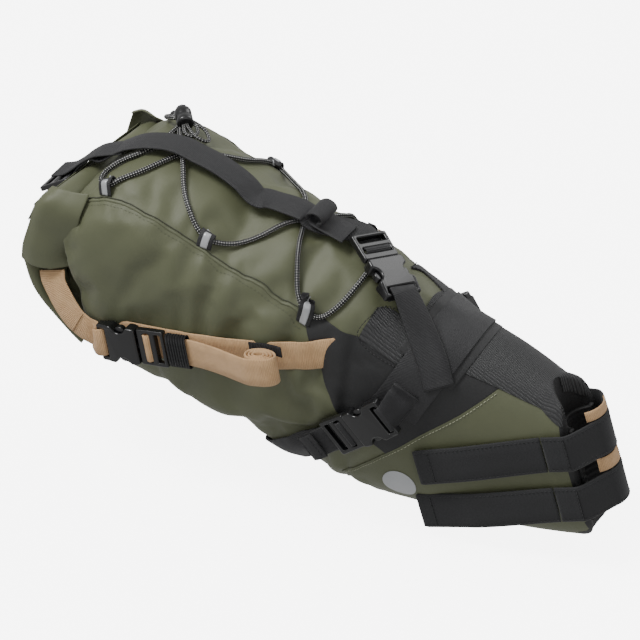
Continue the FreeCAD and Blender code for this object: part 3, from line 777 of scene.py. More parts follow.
def make_panels(shell, skin):
    for name, side in SIDES:
        nose = panel(f"nose_side_{name}", shell, NOSE_SIDE, side, 0.1 * MM, 0.9 * MM, OLIVE,
                     2)
        black = panel(f"side_panel_{name}", shell, REINFORCEMENT, side, 0.05 * MM, 0.8 * MM,
                      BLACK_CLOTH, 2)
        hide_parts(f"side_panel_{name}")
        coarse = panel(f"coarse_patch_{name}", shell, COARSE_PATCH, side, 0.9 * MM, 0.8 * MM,
                       COARSE, 2, nose_lay)
        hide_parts(f"coarse_patch_{name}")
        line, outs = edge_line(skin, NOSE_SEAM, side, 1.1, inset=-3.0)
        sew("bag", LIGHT_THREAD, line, outs)
        line, outs = edge_line(skin, COARSE_PATCH + COARSE_PATCH[:1], side, 1.8)
        sew("bag", DARK_THREAD, line, outs)
        nose.data.name = nose.name
    top = panel("nose_top_panel", shell, NOSE_TOP, 0, 0.95 * MM, 0.9 * MM, COARSE,
                3, nose_lay)
    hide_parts("nose_top_panel")
    cover("nose_face", shell, [],
          lambda centre, normal: centre.dot(POST_FRONT) > -22 * MM
          and (normal.dot(POST_FRONT) > 0.35 or abs(centre.y) < 21 * MM),
          0.1 * MM, 1.0 * MM, BLACK_CLOTH)
    steps = [2 * math.pi * k / 28 for k in range(28)]
    circle = [(DISC_CENTRE[0] + DISC_RADIUS * math.cos(a),
               DISC_CENTRE[1] + DISC_RADIUS * math.sin(a)) for a in steps]
    disc = panel("reflective_disc", shell, circle, -1, 1.0 * MM, 0.6 * MM, GREY, 1)
    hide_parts("reflective_disc")


def make_harness(shell):
    border = ring_cover("harness_border", shell, 52 * MM, BAND_TILT, 34 * MM, 160 * MM, 1.9 * MM,
                        0.5 * MM, BLACK_CLOTH)
    border.data.name = border.name
    band = ring_cover("harness_band", shell, 38 * MM, BAND_TILT, -6 * MM, 160 * MM, 2.5 * MM,
                      1.6 * MM, BLACK_WEB)
    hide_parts("harness_band")
    belly = ring_cover("belly_strap", shell, 25 * MM, BELLY_TILT, -260 * MM, 8 * MM, 1.9 * MM,
                       1.7 * MM, BLACK_WEB)
    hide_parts("belly_strap")


# ---------------------------------------------------------------- seams and piping
def top_line(skin, xs, y_at, lift):
    line, outs = [], []
    for x in xs:
        point, out = skin.top(x, y_at(x), lift)
        line.append(point)
        outs.append(out)
    return line, outs


def seam_y(x):
    """Half width between the top seams, which close in under the harness."""
    return float(np.interp(x, (-440, -415, -394, -366, -321, -245, -228),
                           (58, 61, 63.5, 65, 61.5, 59, 58)))


def make_seams(skin):
    """The side panels lap over the top: a fine dark line of painted shade along the lap, with a low
    rounded edge below it.
    """
    xs = np.arange(-436, -229, 2.0)
    lips, seam_shade_lines = [], []
    for _, side in SIDES:
        line, outs = top_line(skin, xs, lambda x: side * seam_y(x), 0.35)
        # A thin dark tube along the seam: painted shade where the lap meets the top.
        seam_shade_lines.append(tube_mesh("gap", line, 0.5 * MM, 6))
        line, outs = top_line(skin, xs, lambda x: side * (seam_y(x) + 1.6), -0.35)
        lips.append(tube_mesh("lip", line, 1.3 * MM, 8))
        stitched, outs = top_line(skin, xs, lambda x: side * (seam_y(x) + 4.5), 0.0)
        sew("bag", OLIVE_THREAD, stitched, outs, radius=0.2 * MM)
    joined("top_seams", lips, OLIVE, "bag")
    joined("seam_shadows", seam_shade_lines, OLIVE_PAINTED_SHADE, "bag")


# ---------------------------------------------------------------- rolled mouth
ROLL_CENTRE = mm(-452, 0, 124)
ROLL_TURN = Matrix.Rotation(math.radians(-5), 3, "Z") @ Matrix.Rotation(math.radians(24), 3, "Y")
ROLL_ALONG, ROLL_UP = ROLL_TURN @ Vector((1, 0, 0)), ROLL_TURN @ UP
ROLL_LEFT = ROLL_TURN @ LEFT
ROLL_HALF = (13.5, 78, 38)


def roll_point(along, across, up):
    return ROLL_CENTRE + (ROLL_ALONG * along + ROLL_LEFT * across + ROLL_UP * up) * MM


def grid_mesh(name, rows, lay=None):
    """A sheet through rows of points, all rows the same length."""
    count = len(rows[0])
    points = [p for row in rows for p in row]
    faces = [(r * count + c, r * count + c + 1, (r + 1) * count + c + 1, (r + 1) * count + c)
             for r in range(len(rows) - 1) for c in range(count - 1)]
    return mesh_of(name, points, faces, lay or [(p.y, p.z + p.x, 0) for p in points])


def sheet_through(name, controls, thick, material, body, step=2.5 * MM):
    """A cloth sheet smoothly through rows of control points, with its own thickness."""
    rows = [smooth_line([np.array(p) for p in row], step) for row in controls]
    count = max(len(row) for row in rows)
    even = []
    for row in rows:
        places = np.linspace(0, len(row) - 1, count)
        stacked = np.array(row)
        even.append([np.array([np.interp(t, range(len(row)), stacked[:, axis])
                               for axis in range(3)]) for t in places])
    columns = [smooth_line([row[c] for row in even], step) for c in range(count)]
    longest = max(len(column) for column in columns)
    grid = []
    for column in columns:
        stacked = np.array(column)
        places = np.linspace(0, len(column) - 1, longest)
        grid.append([Vector([np.interp(t, range(len(column)), stacked[:, axis])
                             for axis in range(3)]) for t in places])
    for row in grid:
        for point in row:
            point += Vector((0.3, 1, 0.2)) * 0.9 * MM * noise.noise(point * 45)
    obj = link(name, grid_mesh(name, grid), material, None)
    wall = obj.modifiers.new("thickness", "SOLIDIFY")
    wall.thickness = thick
    wall.offset = 0
    obj.modifiers.new("smooth", "SUBSURF").levels = 1
    settle_modifiers(obj)
    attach(obj, body)
    return obj


def make_roll():
    """The mouth rolled up on its stiffener: a soft flattened drum, creased where it is bent."""
    rows = []
    lengths = np.linspace(-1, 1, 64)
    for share in lengths:
        end = abs(share) ** 10
        row = []
        for k in range(57):
            angle = 2 * math.pi * k / 56
            across_x = math.copysign(abs(math.cos(angle)) ** 0.75, math.cos(angle))
            across_z = math.copysign(abs(math.sin(angle)) ** 0.55, math.sin(angle))
            layer = 0.7 * math.sin(3 * angle + 0.8) + 0.5 * math.sin(share * 9)
            thin = ROLL_HALF[0] * (1 - 0.45 * end) + layer
            tall = ROLL_HALF[2] * (1 - 0.12 * end) + 1.2 * math.sin(share * 4 + 0.5)
            row.append(roll_point(thin * across_x, (ROLL_HALF[1] - 2) * share, tall * across_z))
        rows.append(row)
    for row in rows:
        for point in row:
            point += ROLL_ALONG * 1.3 * MM * noise.noise(point * 28)
    mesh = grid_mesh("roll_closure", rows)
    shape = bmesh.new()
    shape.from_mesh(mesh)
    bmesh.ops.remove_doubles(shape, verts=shape.verts, dist=0.05 * MM)
    bmesh.ops.holes_fill(shape, edges=[e for e in shape.edges if e.is_boundary], sides=0)
    bmesh.ops.recalc_face_normals(shape, faces=shape.faces)
    shape.to_mesh(mesh)
    shape.free()
    roll = link("roll_closure", mesh, OLIVE, "bag")
    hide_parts("roll_closure")
    lap = [(roll_point(-14.6, y, 14 + 1.5 * math.sin(y / 19)), -ROLL_ALONG)
           for y in range(-74, 75, 12)]
    ribbon("roll_lap", lap, 22 * MM, 1.0 * MM, OLIVE, "bag")


def make_roll_ends():
    """The roll's ends, folded down over the gusset, and the folds they pull into it."""
    for name, side in SIDES:
        def at(x, y, z, side=side):
            return mm(x, side * y, z)
        ear = [
            [at(-453, 62, 164), at(-444, 66, 167), at(-432, 64, 166), at(-419, 61, 166)],
            [at(-459, 75, 156), at(-450, 79, 158), at(-436, 77, 154), at(-421, 74, 150)],
            [at(-467, 78, 134), at(-457, 81, 134), at(-442, 79, 131), at(-426, 74, 127)],
            [at(-474, 78, 113), at(-461, 82, 112), at(-446, 79, 110), at(-430, 64, 110)],
            [at(-477, 76, 97), at(-463, 81, 96), at(-447, 79, 97), at(-429, 68, 100)],
        ]
        sheet_through(f"roll_end_{name}", ear, 1.2 * MM, OLIVE, "bag")
        outer_fold = [
            [at(-478, 58, 99), at(-477, 72, 97), at(-470, 79, 97), at(-464, 70, 98)],
            [at(-476, 58, 82), at(-474, 70, 79), at(-466, 78, 79), at(-460, 68, 81)],
            [at(-466, 56, 62), at(-463, 68, 58), at(-456, 77, 60), at(-451, 67, 64)],
            [at(-450, 56, 44), at(-446, 68, 41), at(-441, 76, 44), at(-438, 68, 48)],
            [at(-430, 60, 26), at(-427, 70, 26), at(-424, 74, 30), at(-423, 68, 34)],
        ]
        sheet_through(f"gusset_fold_{name}", outer_fold, 1.2 * MM, OLIVE, "bag")
        inner_fold = [
            [at(-460, 62, 101), at(-455, 75, 100), at(-447, 77, 100), at(-441, 66, 101)],
            [at(-457, 60, 88), at(-455, 70, 86), at(-450, 70, 87), at(-446, 60, 89)],
            [at(-452, 58, 72), at(-451, 66, 70), at(-448, 64, 71), at(-445, 56, 73)],
        ]
        sheet_through(f"gusset_pleat_{name}", inner_fold, 1.2 * MM, OLIVE, "bag")


# ---------------------------------------------------------------- bungee and its loops
REST, OVER = 2.9, 7.1
BUNGEE = [
    (-385, 33, 6.0), (-386, 12, REST), (-388, -6, REST), (-397, -19, REST), (-409, -27, REST),
    (-416, -40, REST), (-413, -51, REST), (-404, -57, REST), (-395, -51, REST), (-384, -41, REST),
    (-374, -26, REST), (-366, -10, REST), (-355, 5, REST), (-341, 17, REST), (-328, 32, REST),
    (-322, 47, REST), (-316, 57, REST), (-305, 51, REST), (-288, 37, REST), (-274, 24, REST),
    (-265, 9, REST), (-257, -10, REST), (-251, -30, REST), (-245, -44, REST), (-238, -53, REST),
    (-230, -58, REST), (-219, -54, REST), (-208, -48, REST), (-200, -38, REST), (-196, -24, REST),
    (-195, -8, REST), (-198, 10, REST), (-206, 28, REST), (-218, 46, REST), (-229, 57, REST),
    (-234, 46, REST), (-238, 32, REST), (-244, 16, OVER - 1.5), (-254, 0, OVER),
    (-266, -17, OVER - 1.5), (-280, -34, REST), (-293, -44, REST), (-306, -51, REST),
    (-317, -57, REST), (-328, -54, REST), (-338, -47, REST), (-347, -37, REST),
    (-356, -23, OVER - 1.5), (-365, -9, OVER), (-374, 5, OVER - 1.5), (-383, 20, REST),
    (-391, 38, REST), (-400, 52, REST), (-406, 57, REST), (-409, 46, REST + 1),
    (-402, 34, REST + 3), (-390, 27, 9.0),
]
CORD_RADIUS = 2 * MM
LOOP_X, LOOP_Y = (-404, -317, -230), 59


def spline_line(points, name):
    """The dense line of a smooth NURBS route through the cord's own points."""
    curve = bpy.data.curves.new(name, "CURVE")
    curve.dimensions = "3D"
    curve.resolution_u = 12
    spline = curve.splines.new("NURBS")
    spline.points.add(len(points) - 1)
    for control, point in zip(spline.points, points):
        control.co = (*point, 1)
    spline.order_u = 3
    spline.use_endpoint_u = True
    holder = bpy.data.objects.new(name, curve)
    bpy.context.scene.collection.objects.link(holder)
    mesh = bpy.data.meshes.new_from_object(holder)
    line = [v.co.copy() for v in mesh.vertices]
    bpy.data.objects.remove(holder)
    bpy.data.meshes.remove(mesh)
    return line


def make_bungee(skin):
    points = [skin.top(x, y, lift)[0] for x, y, lift in BUNGEE]
    line = [skin.clear(p, 2.0) for p in spline_line(points, "bungee_route")]
    cord = link("bungee_cord", tube_mesh("bungee_cord", line, CORD_RADIUS, 14), SLEEVE, "bag")
    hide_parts("bungee_cord")


def make_loops(skin):
    """A folded tab of black webbing at each lacing point, with a grey band round it."""
    tabs, bands = [], []
    stops = [(x, side * LOOP_Y, side) for x in LOOP_X for _, side in SIDES]
    for x, y, side in stops:
        sewn, out = skin.top(x, y + side * 2.5, 0.4)
        rising, _ = skin.top(x, y - side * 0.5, 3.6)
        crown, top_out = skin.top(x, y - side * 4, 6.2)
        inner = skin.top(x, y - side * 7.5, 3.4)[0]
        under = skin.top(x, y - side * 3, 0.9)[0]
        inwards = Vector((0, -side, 0))
        fold = [(sewn, out), (rising, (top_out - inwards * 0.6).normalized()), (crown, top_out),
                (inner, inwards), (under, -top_out)]
        for store, width, grow in ((tabs, 12.5, 0.0), (bands, 6, 0.55)):
            shifted = [(p + o * grow * MM, o) for p, o in (fold if store is tabs else fold[:4])]
            piece = ribbon("loop", shifted, width * MM, 1.1 * MM, BLACK_WEB, None, 1.2 * MM)
            store.append(piece.data.copy())
            bpy.data.objects.remove(piece)
    loops = joined("cord_loops", tabs, BLACK_WEB, "bag")
    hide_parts("cord_loops")
    grey = joined("reflective_tabs", bands, GREY, "bag")
    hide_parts("reflective_tabs")


# ---------------------------------------------------------------- moulded parts
def outline_mesh(name, outline, holes, thick, edge):
    """A flat moulding with rounded edges, from an outline and holes in X and Y (mm)."""
    curve = bpy.data.curves.new(name, "CURVE")
    curve.dimensions = "2D"
    curve.fill_mode = "BOTH"
    curve.extrude = (thick / 2 - edge) * MM
    curve.bevel_depth = edge * MM
    curve.bevel_resolution = 3
    curve.offset = -edge * MM
    for ring in [outline] + holes:
        spline = curve.splines.new("POLY")
        spline.points.add(len(ring) - 1)
        for control, (x, y) in zip(spline.points, ring):
            control.co = (x * MM, y * MM, 0, 1)
        spline.use_cyclic_u = True
    holder = bpy.data.objects.new(name, curve)
    bpy.context.scene.collection.objects.link(holder)
    mesh = bpy.data.meshes.new_from_object(holder)
    bpy.data.objects.remove(holder)
    mesh.name = name
    return mesh


def rounded(points, radius, steps=4):
    """A closed outline with each corner turned into an arc."""
    ring = []
    count = len(points)
    for k in range(count):
        before, corner, after = (Vector(points[(k + d) % count]) for d in (-1, 0, 1))
        inward, outward = (before - corner), (after - corner)
        reach = min(radius, inward.length * 0.45, outward.length * 0.45)
        start = corner + inward.normalized() * reach
        end = corner + outward.normalized() * reach
        for n in range(steps + 1):
            t = n / steps
            ring.append(tuple(start * (1 - t) ** 2 + corner * 2 * t * (1 - t) + end * t * t))
    return ring


def mirrored(half):
    """A closed outline from its half with positive Y."""
    return half + [(x, -y) for x, y in reversed(half)]


def rectangle(x0, x1, half_y, radius=0.8):
    return rounded([(x0, -half_y), (x1, -half_y), (x1, half_y), (x0, half_y)], radius)


def moulded(name, mesh, place, body, replaced, squeeze=None):
    """Puts a moulding in its place; squeeze changes each point's height in its own frame."""
    if squeeze:
        for vertex in mesh.vertices:
            vertex.co.z *= squeeze(vertex.co.x / MM)
    mesh.transform(place)
    obj = link(name, mesh, PLASTIC, None)
    even = obj.modifiers.new("normals", "WEIGHTED_NORMAL")
    even.keep_sharp = True
    settle_modifiers(obj)
    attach(obj, body)
    if replaced:
        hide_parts(*replaced)
    return obj


JOINTS = {joint["name"]: joint for joint in frame["joints"]}
ARM_PIVOT = (2.0, 7.5)
BUCKLES = ("side_buckle_right", "side_buckle_left", "belly_buckle_right", "belly_buckle_left",
           "top_buckle")


def buckle_place(name):
    """A buckle's own frame: origin at its mouth, +X into the female half, +Z off the bag."""
    pivot = Vector(JOINTS[f"{name}_squeeze_a"]["pos_m"])
    x = -Vector(JOINTS[f"{name}_release"]["axis"])
    z = -Vector(JOINTS[f"{name}_squeeze_a"]["axis"])
    y = z.cross(x)
    place = Matrix((x, y, z)).transposed().to_4x4()
    place.translation = pivot - (x * ARM_PIVOT[0] + y * ARM_PIVOT[1]) * MM
    return place


def subtract(obj, tool_mesh):
    tool = bpy.data.objects.new("tool", tool_mesh)
    bpy.context.scene.collection.objects.link(tool)
    cut = obj.modifiers.new("cut", "BOOLEAN")
    cut.operation = "DIFFERENCE"
    cut.solver = "EXACT"
    cut.object = tool
    settle_modifiers(obj)
    bpy.data.objects.remove(tool)


def female_mesh():
    """The socket half: waisted by two scooped windows, with a webbing bar at its far end."""
    half = [(0, 15.6), (2.5, 16.6), (7.2, 16.9), (8.6, 16.2), (9.8, 13.6), (12, 11.9), (15, 11.2),
            (18, 11.9), (20.2, 13.8), (21.6, 16.2), (23.2, 17), (29, 17), (35, 16.8), (36, 15.6)]
    outline = rounded(mirrored(half), 1.2, 3)
    mesh = outline_mesh("female", outline, [rectangle(28.6, 33.2, 13)], 11, 1.6)
    holder = bpy.data.objects.new("female_holder", mesh)
    bpy.context.scene.collection.objects.link(holder)
    mouth = outline_mesh("mouth", rectangle(-2, 24.2, 13), [], 6.6, 0.4)
    subtract(holder, mouth)
    made = holder.data
    bpy.data.objects.remove(holder)
    return made


def male_mesh():
    """The ladder half: a frame with two webbing slots and a middle tongue."""
    frame_ring = rounded([(-25.6, -16.6), (-0.6, -16.2), (-0.6, 16.2), (-25.6, 16.6)], 2.2)
    mesh = outline_mesh("male", frame_ring, [rectangle(-12.0, -6.8, 13), rectangle(-22.2, -17, 13)],
                        6, 1.3)
    tongue = outline_mesh("tongue", rectangle(-2, 11.5, 1.4, 1.2), [], 5.2, 0.7)
    shape = bmesh.new()
    shape.from_mesh(mesh)
    shape.from_mesh(tongue)
    shape.to_mesh(mesh)
    shape.free()
    return mesh


def arm_mesh(side):
    """A sprung prong with the rounded shoulder that catches in the socket's window."""
    half = [(0.4, 6.2), (0.4, 9.0), (8, 9.2), (10.4, 11.6), (11.4, 14.6), (13, 15.9), (16, 16.1),
            (18.4, 15), (19.6, 12.4), (19.4, 9.4), (18.2, 6.4)]
    return outline_mesh("arm", rounded([(x, side * y) for x, y in half], 1.0, 3), [], 5.2, 0.8)


def socket_profile(x):
    """The socket is fullest behind its windows and thins towards the webbing bar."""
    return 1.0 - 0.34 * smoothstep((x - 23) / 10) - 0.06 * smoothstep((4 - x) / 4)


PLACES = {name: buckle_place(name) for name in BUCKLES}


def make_buckles():
    female, male = female_mesh(), male_mesh()
    for name in BUCKLES:
        place = PLACES[name]
        moulded(f"{name}_female", female.copy(), place, "bag", [f"{name}_female"], socket_profile)
        moulded(f"{name}_male", male.copy(), place, f"{name}_plug", [f"{name}_male"])
        for arm, side in (("a", 1), ("b", -1)):
            moulded(f"{name}_arm_{arm}", arm_mesh(side), place, f"{name}_prong_{arm}",
                    [f"{name}_arm_{arm}"])


def make_rear_plates():
    for name, corner in (("upper", mm(-473, -14, 140)), ("lower", mm(-480, -14, 122))):
        ring = rounded([(-15.5, -15.4), (15.5, -16), (15.5, 16), (-15.5, 15.4)], 2.4)
        mesh = outline_mesh("plate", ring, [rectangle(-9.8, -4.6, 12.6), rectangle(4.0, 9.2, 12.8)],
                            4.2, 1.1)
        place = Matrix.Translation(corner) @ Matrix.Rotation(math.radians(-32), 4, "Y")
        moulded(f"rear_plate_{name}", mesh, place, "bag", [f"rear_plate_{name}"])


def turned(name, profile, place, body, replaced, material=None, ribs=0):
    """A round moulding turned about its own Z, from (radius, height) points."""
    points, faces = [], []
    sides = 40
    for radius, height in profile:
        for n in range(sides):
            angle = 2 * math.pi * n / sides
            swell = 1 + (0.035 * math.cos(angle * ribs) if ribs and 0 < radius else 0)
            points.append(Vector((radius * math.cos(angle) * swell,
                                  radius * math.sin(angle) * swell, height)) * MM)
    for k in range(len(profile) - 1):
        faces += [(k * sides + n, k * sides + (n + 1) % sides, (k + 1) * sides + (n + 1) % sides,
                   (k + 1) * sides + n) for n in range(sides)]
    faces.append(tuple(range(sides))[::-1])
    faces.append(tuple(range(len(points) - sides, len(points))))
    mesh = mesh_of(name, points, faces)
    outward_faces(mesh)
    mesh.transform(place)
    obj = link(name, mesh, material or PLASTIC, body)
    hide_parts(*replaced)
    return obj


def make_cord_lock(skin):
    axis = -Vector(JOINTS["cord_lock_press"]["axis"])
    low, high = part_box("cord_lock_button")
    middle = (low + high) / 2
    start = middle - axis * (10.5 + 5.85) * MM
    turn = axis.to_track_quat("Z", "Y").to_matrix().to_4x4()
    place = Matrix.Translation(start) @ turn
    body = [(4.6, 0), (6.2, 0.2), (6.9, 1.0), (7, 3), (7, 6), (6.4, 7), (6.4, 9.6), (7, 10.6),
            (7, 15), (6.9, 17.2), (6.4, 18), (5.5, 18), (5.4, 12)]
    turned("cord_lock_body", body, place, "bag", ["cord_lock_body"])
    cap = [(3.9, 10.6), (5.1, 10.8), (5.15, 20.6), (4.9, 21.6), (4.2, 22.1), (2.2, 22.15)]
    turned("cord_lock_button", cap, place, "cord_lock_plunger", ["cord_lock_button"],
           ribs=12)
    # The cord's two ends come out of the lock and are knotted into two small bights.
    loops = []
    for k, reach in enumerate((15, 19)):
        x, y = -384 + 5 * k, 28 + 2 * k
        points = [start + axis * 10 * MM, skin.top(x + 8, y + 2, 8)[0],
                  skin.top(x + reach, y - 4, 3.5)[0], skin.top(x + reach, y - 14, 3.2)[0],
                  skin.top(x + 6, y - 12, 4)[0], start + axis * 7 * MM]
        line = spline_line(points, "bight_route")
        loops.append(tube_mesh("bight", line, 1.5 * MM, 10))
    bights = joined("cord_bights", loops, SLEEVE, "bag")
    bights.data.name = bights.name


# ---------------------------------------------------------------- webbing on the buckles
WEB = 25 * MM
WEB_THICK = 1.7 * MM


def in_place(place, stops):
    """(x, z, out x, out z) stops in a buckle's frame, as points and directions."""
    turn = place.to_3x3()
    return [(place @ mm(x, 0, z), (turn @ Vector((ox, 0, oz))).normalized())
            for x, z, ox, oz in stops]


def across_line(point, along, out, half, lift):
    """A straight line over a strap's width, for a row of stitches."""
    side = along.cross(out).normalized()
    line = [point + side * share * half + out * lift for share in np.linspace(-1, 1, 12)]
    return line, [out] * len(line)


SLOT_ARCH = [(-6.4, -2.6, 1, 0), (-6.3, 1.2, 1, 0.4), (-9.3, 3.9, 0, 1), (-12.3, 1.2, -1, 0.4),
             (-13.6, -2.6, -0.8, 0.6), (-18, -3.9, 0, 1)]
BAR_WRAP = [(40, 3.4, 0.2, 1), (35, 4.4, 0.1, 1), (31.4, 2.6, -1, 0.8), (30.6, -0.4, -1, 0),
            (31.6, -3.2, -1, -0.8), (35.5, -4.6, 0, -1), (44, -4.4, 0, -1)]


def coil_stops(centre_x, centre_z, outer, pitch, turns):
    """A rolled-up strap's flattened spiral, wound inwards from over its centre."""
    stops = []
    for k in range(int(turns * 20) + 1):
        turn = 2 * math.pi * k / 20
        radius = outer - pitch * turn / (2 * math.pi)
        x, z = -math.sin(turn), math.cos(turn)
        stops.append((centre_x + x * radius * 1.5, centre_z + z * radius * 0.9, x, z))
    return stops


def make_side_straps(skin):
    for name, side in SIDES:
        place = PLACES[f"side_buckle_{name}"]
        top_sign = 1 if place.to_3x3().col[1].z > 0 else -1
        outward = Vector((0, side, 0))
        stops = [(mm(x, side * y, z), outward) for x, y, z in
                 ((-450, 74, 92), (-447, 77, 84), (-440, 80, 75), (-432, 82, 65),
                  (-424, 83.5, 58), (-414, 84.5, 53), (-404, 84.5, 50))]
        rear = ribbon(f"side_strap_rear_{name}", stops + in_place(place, BAR_WRAP), WEB, WEB_THICK,
                      TAN, "bag")
        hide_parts(f"side_strap_rear_{name}")
        sewn = mm(-421, side * 84.8, 56.5)
        line, outs = across_line(sewn, (stops[5][0] - stops[4][0]).normalized(), outward, 11.6 * MM,
                                 0.3 * MM)
        sew("bag", BROWN_THREAD, line, outs, pitch=2.6 * MM, length=1.9 * MM)

        # The webbing is pulled straight, so it follows the wrinkled shell's mean curve.
        met = [skin.side(x, 58 + (x + 372) * 0.145, side, 2.8) for x in range(-384, -199, 8)]
        mean_out = sum((out for _, out in met), Vector()).normalized()
        curve = np.polyfit([point.x for point, _ in met], [point.y for point, _ in met], 3)
        low = []
        for point, _ in met:
            sunk = float(np.interp(point.x / MM, (-226, -200), (0, 5.5)))
            low.append((Vector((point.x, float(np.polyval(curve, point.x)) - side * sunk * MM,
                                point.z)), mean_out))
        front = ribbon(f"side_strap_front_{name}", low, WEB, WEB_THICK, TAN, "bag")
        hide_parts(f"side_strap_front_{name}")

        coil = coil_stops(-115, 6.4, 9.6, 2.1, 3.4)
        tail = SLOT_ARCH + [(-27, -1.2, 0, 1), (-36, 0.4, 0, 1), (-48, 0.8, 0, 1),
                            (-62, 3.0, -0.2, 1),
                            (-78, 7.0, -0.3, 1), (-94, 12.0, -0.3, 1), (-106, 15.3, -0.1, 1)]
        tail += [(x, z, ox, oz) for x, z, ox, oz in coil]
        free = ribbon(f"strap_tail_{name}", in_place(place, tail), WEB, WEB_THICK, TAN,
                      f"side_buckle_{name}_plug", 1.6 * MM)
        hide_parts(f"strap_tail_{name}", f"rolled_tail_{name}")
        ring = [(x, z, 0, -1) for x, z in ((-101, -3.2), (-108, -3.8), (-116, -4), (-124, -3.4),
                                           (-130, -2))]
        beside = place.to_3x3().col[1] * top_sign * 10.5 * MM
        band = [(p + beside, o) for p, o in in_place(place, ring)]
        ribbon(f"tail_band_{name}", band, 10 * MM, 1.6 * MM, ELASTIC, f"side_buckle_{name}_plug",
               1.5 * MM)
        make_keeper(name, place)


def make_keeper(name, place):
    """A ribbed elastic sleeve that holds the strap's two layers together."""
    rows = []
    for x in np.linspace(-27.2, -46, 40):
        row = []
        swell = 0.28 * math.cos(2 * math.pi * x / 2.4)
        for k in range(49):
            angle = 2 * math.pi * k / 48
            across = math.copysign(abs(math.cos(angle)) ** 0.28, math.cos(angle)) * (13.9 + swell)
            up = math.copysign(abs(math.sin(angle)) ** 0.6, math.sin(angle)) * (2.7 + swell)
            row.append(place @ mm(x, across, up + 0.2))
        rows.append(row)
    lay = [(-27.2 * MM + r * 0.48 * MM, k * 1.3 * MM, 0) for r in range(40) for k in range(49)]
    sleeve = link(f"strap_keeper_{name}", grid_mesh(f"strap_keeper_{name}", rows, lay), ELASTIC,
                  None)
    wall = sleeve.modifiers.new("thickness", "SOLIDIFY")
    wall.thickness = 0.9 * MM
    settle_modifiers(sleeve)
    outward_faces(sleeve.data)
    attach(sleeve, f"side_buckle_{name}_plug")
    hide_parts(f"strap_keeper_{name}")


def make_belly_webs(skin):
    for name, side in SIDES:
        place = PLACES[f"belly_buckle_{name}"]
        up = tilted(BAND_TILT)
        sewn = [skin.near(JOIN + up * high * MM + LEFT * side * 70 * MM, 4.6) for high in (22, 10)]
        web = sewn + in_place(place, BAR_WRAP[1:6])
        ribbon(f"belly_web_{name}", web, 23 * MM, WEB_THICK, BLACK_WEB, "bag")
        tail = SLOT_ARCH + [(-27, -1.4, 0, 1), (-38, 0.2, 0, 1), (-48, 0.8, 0, 1),
                            (-52.5, 2.4, -1, 0), (-48, 4.2, 0, -1), (-38, 4.0, 0, -1)]
        ribbon(f"belly_tail_{name}", in_place(place, tail), 24 * MM, WEB_THICK, BLACK_WEB,
               f"belly_buckle_{name}_plug", 1.5 * MM)
        turn = place.to_3x3()
        line, outs = across_line(place @ mm(-42, 0, 5.0), turn.col[0], turn.col[2], 10.5 * MM, 0)
        sew(f"belly_buckle_{name}_plug", DARK_THREAD, line, outs)


def make_top_strap(skin):
    place = PLACES["top_buckle"]

    def lift(x):
        return 7.6 + 2.4 * (bell(x + 365, 13) + bell(x + 257, 13))

    def rear(x, z, ox, oz, y=-7):
        return (mm(x, y, z), Vector((ox, 0, oz)).normalized())
    stops = [rear(-469, 142.5, -0.3, 1), rear(-461, 148, -0.7, 0.7), rear(-454, 158, -0.7, 0.7),
             rear(-444, 167, -0.5, 0.9)]
    for x in range(-430, -236, 13):
        tilt = float(np.interp(x, (-430, -405, -380), (-0.25, 0.0, 0.3)))
        stops.append((skin.top(x, -8 + (x + 400) * 0.015, lift(x))[0],
                      Vector((tilt, -0.03, 1)).normalized()))
    stops += in_place(place, [(-30, -3.2, 0, 1), (-20, -3.8, 0, 1)])
    strap = ribbon("top_strap", stops, WEB, WEB_THICK, BLACK_WEB, "bag")
    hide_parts("top_strap")

    curl = []
    base = skin.top(-238, -5, 9.6)[0]
    out = Vector((0.33, -0.03, 0.94)).normalized()
    ahead = (skin.top(-222, -4, 9.6)[0] - base).normalized()
    for x, z, ox, oz in ((22, 0.2, 0, 1), (12, 0.6, 0, 1), (0, 1.0, 0, 1), (-8, 2.2, -0.4, 1),
                         (-13, 7.5, -1, 0.2), (-8.5, 12.6, -0.2, 1), (-2, 12.0, 0.8, 0.8),
                         (1.2, 7.6, 1, -0.2), (-2.4, 4.4, 0, -1)):
        curl.append((base + (ahead * x + out * z) * MM, (ahead * ox + out * oz).normalized()))
    ribbon("top_strap_end", curl, WEB, WEB_THICK, BLACK_WEB, "top_buckle_plug",
           1.4 * MM)

    tail = SLOT_ARCH[:-1] + [(-16.5, -3.4, 0, 1)]
    ribbon("top_buckle_web", in_place(place, tail), 24 * MM, WEB_THICK, BLACK_WEB,
           "top_buckle_plug", 1.4 * MM)
    ahead_web = [skin.top(-118, -47, 5.0), skin.top(-130, -40, 5.4)]
    ahead_web += in_place(place, BAR_WRAP[1:6])
    ribbon("top_anchor_web", ahead_web, 24 * MM, WEB_THICK, BLACK_WEB, "bag")

    lower = [rear(-489, 118, -0.3, 1), rear(-481, 121, -0.4, 0.9), rear(-473, 127, -0.7, 0.7),
             rear(-466, 134, -0.9, 0.4), rear(-463, 141, -0.9, 0.3)]
    ribbon("rear_web", lower, 24 * MM, WEB_THICK, BLACK_WEB, "bag")
    upper = [rear(-481, 141, -0.3, 1, -8), rear(-470, 145.5, -0.4, 0.9, -8),
             rear(-461, 153, -0.7, 0.7, -8), rear(-452, 162, -0.6, 0.8, -8),
             rear(-441, 170.5, -0.4, 0.9, -8), rear(-428, 176, -0.2, 1, -8),
             rear(-414, 181, -0.1, 1, -8)]
    ribbon("rear_web_upper", upper, 24 * MM, WEB_THICK, BLACK_WEB, "bag")


# ---------------------------------------------------------------- seatpost straps and pad
STRAP_HEIGHTS = {"upper": 35, "lower": -11}
FLAP_LENGTHS = {"upper": 124, "lower": 138}
STRAP_WIDTH, STRAP_THICK = 32, 2.0
POST_REACH = 17.2


def by_post(front, left, height):
    return (POST_FRONT * front + LEFT * left + POST_AXIS * height) * MM


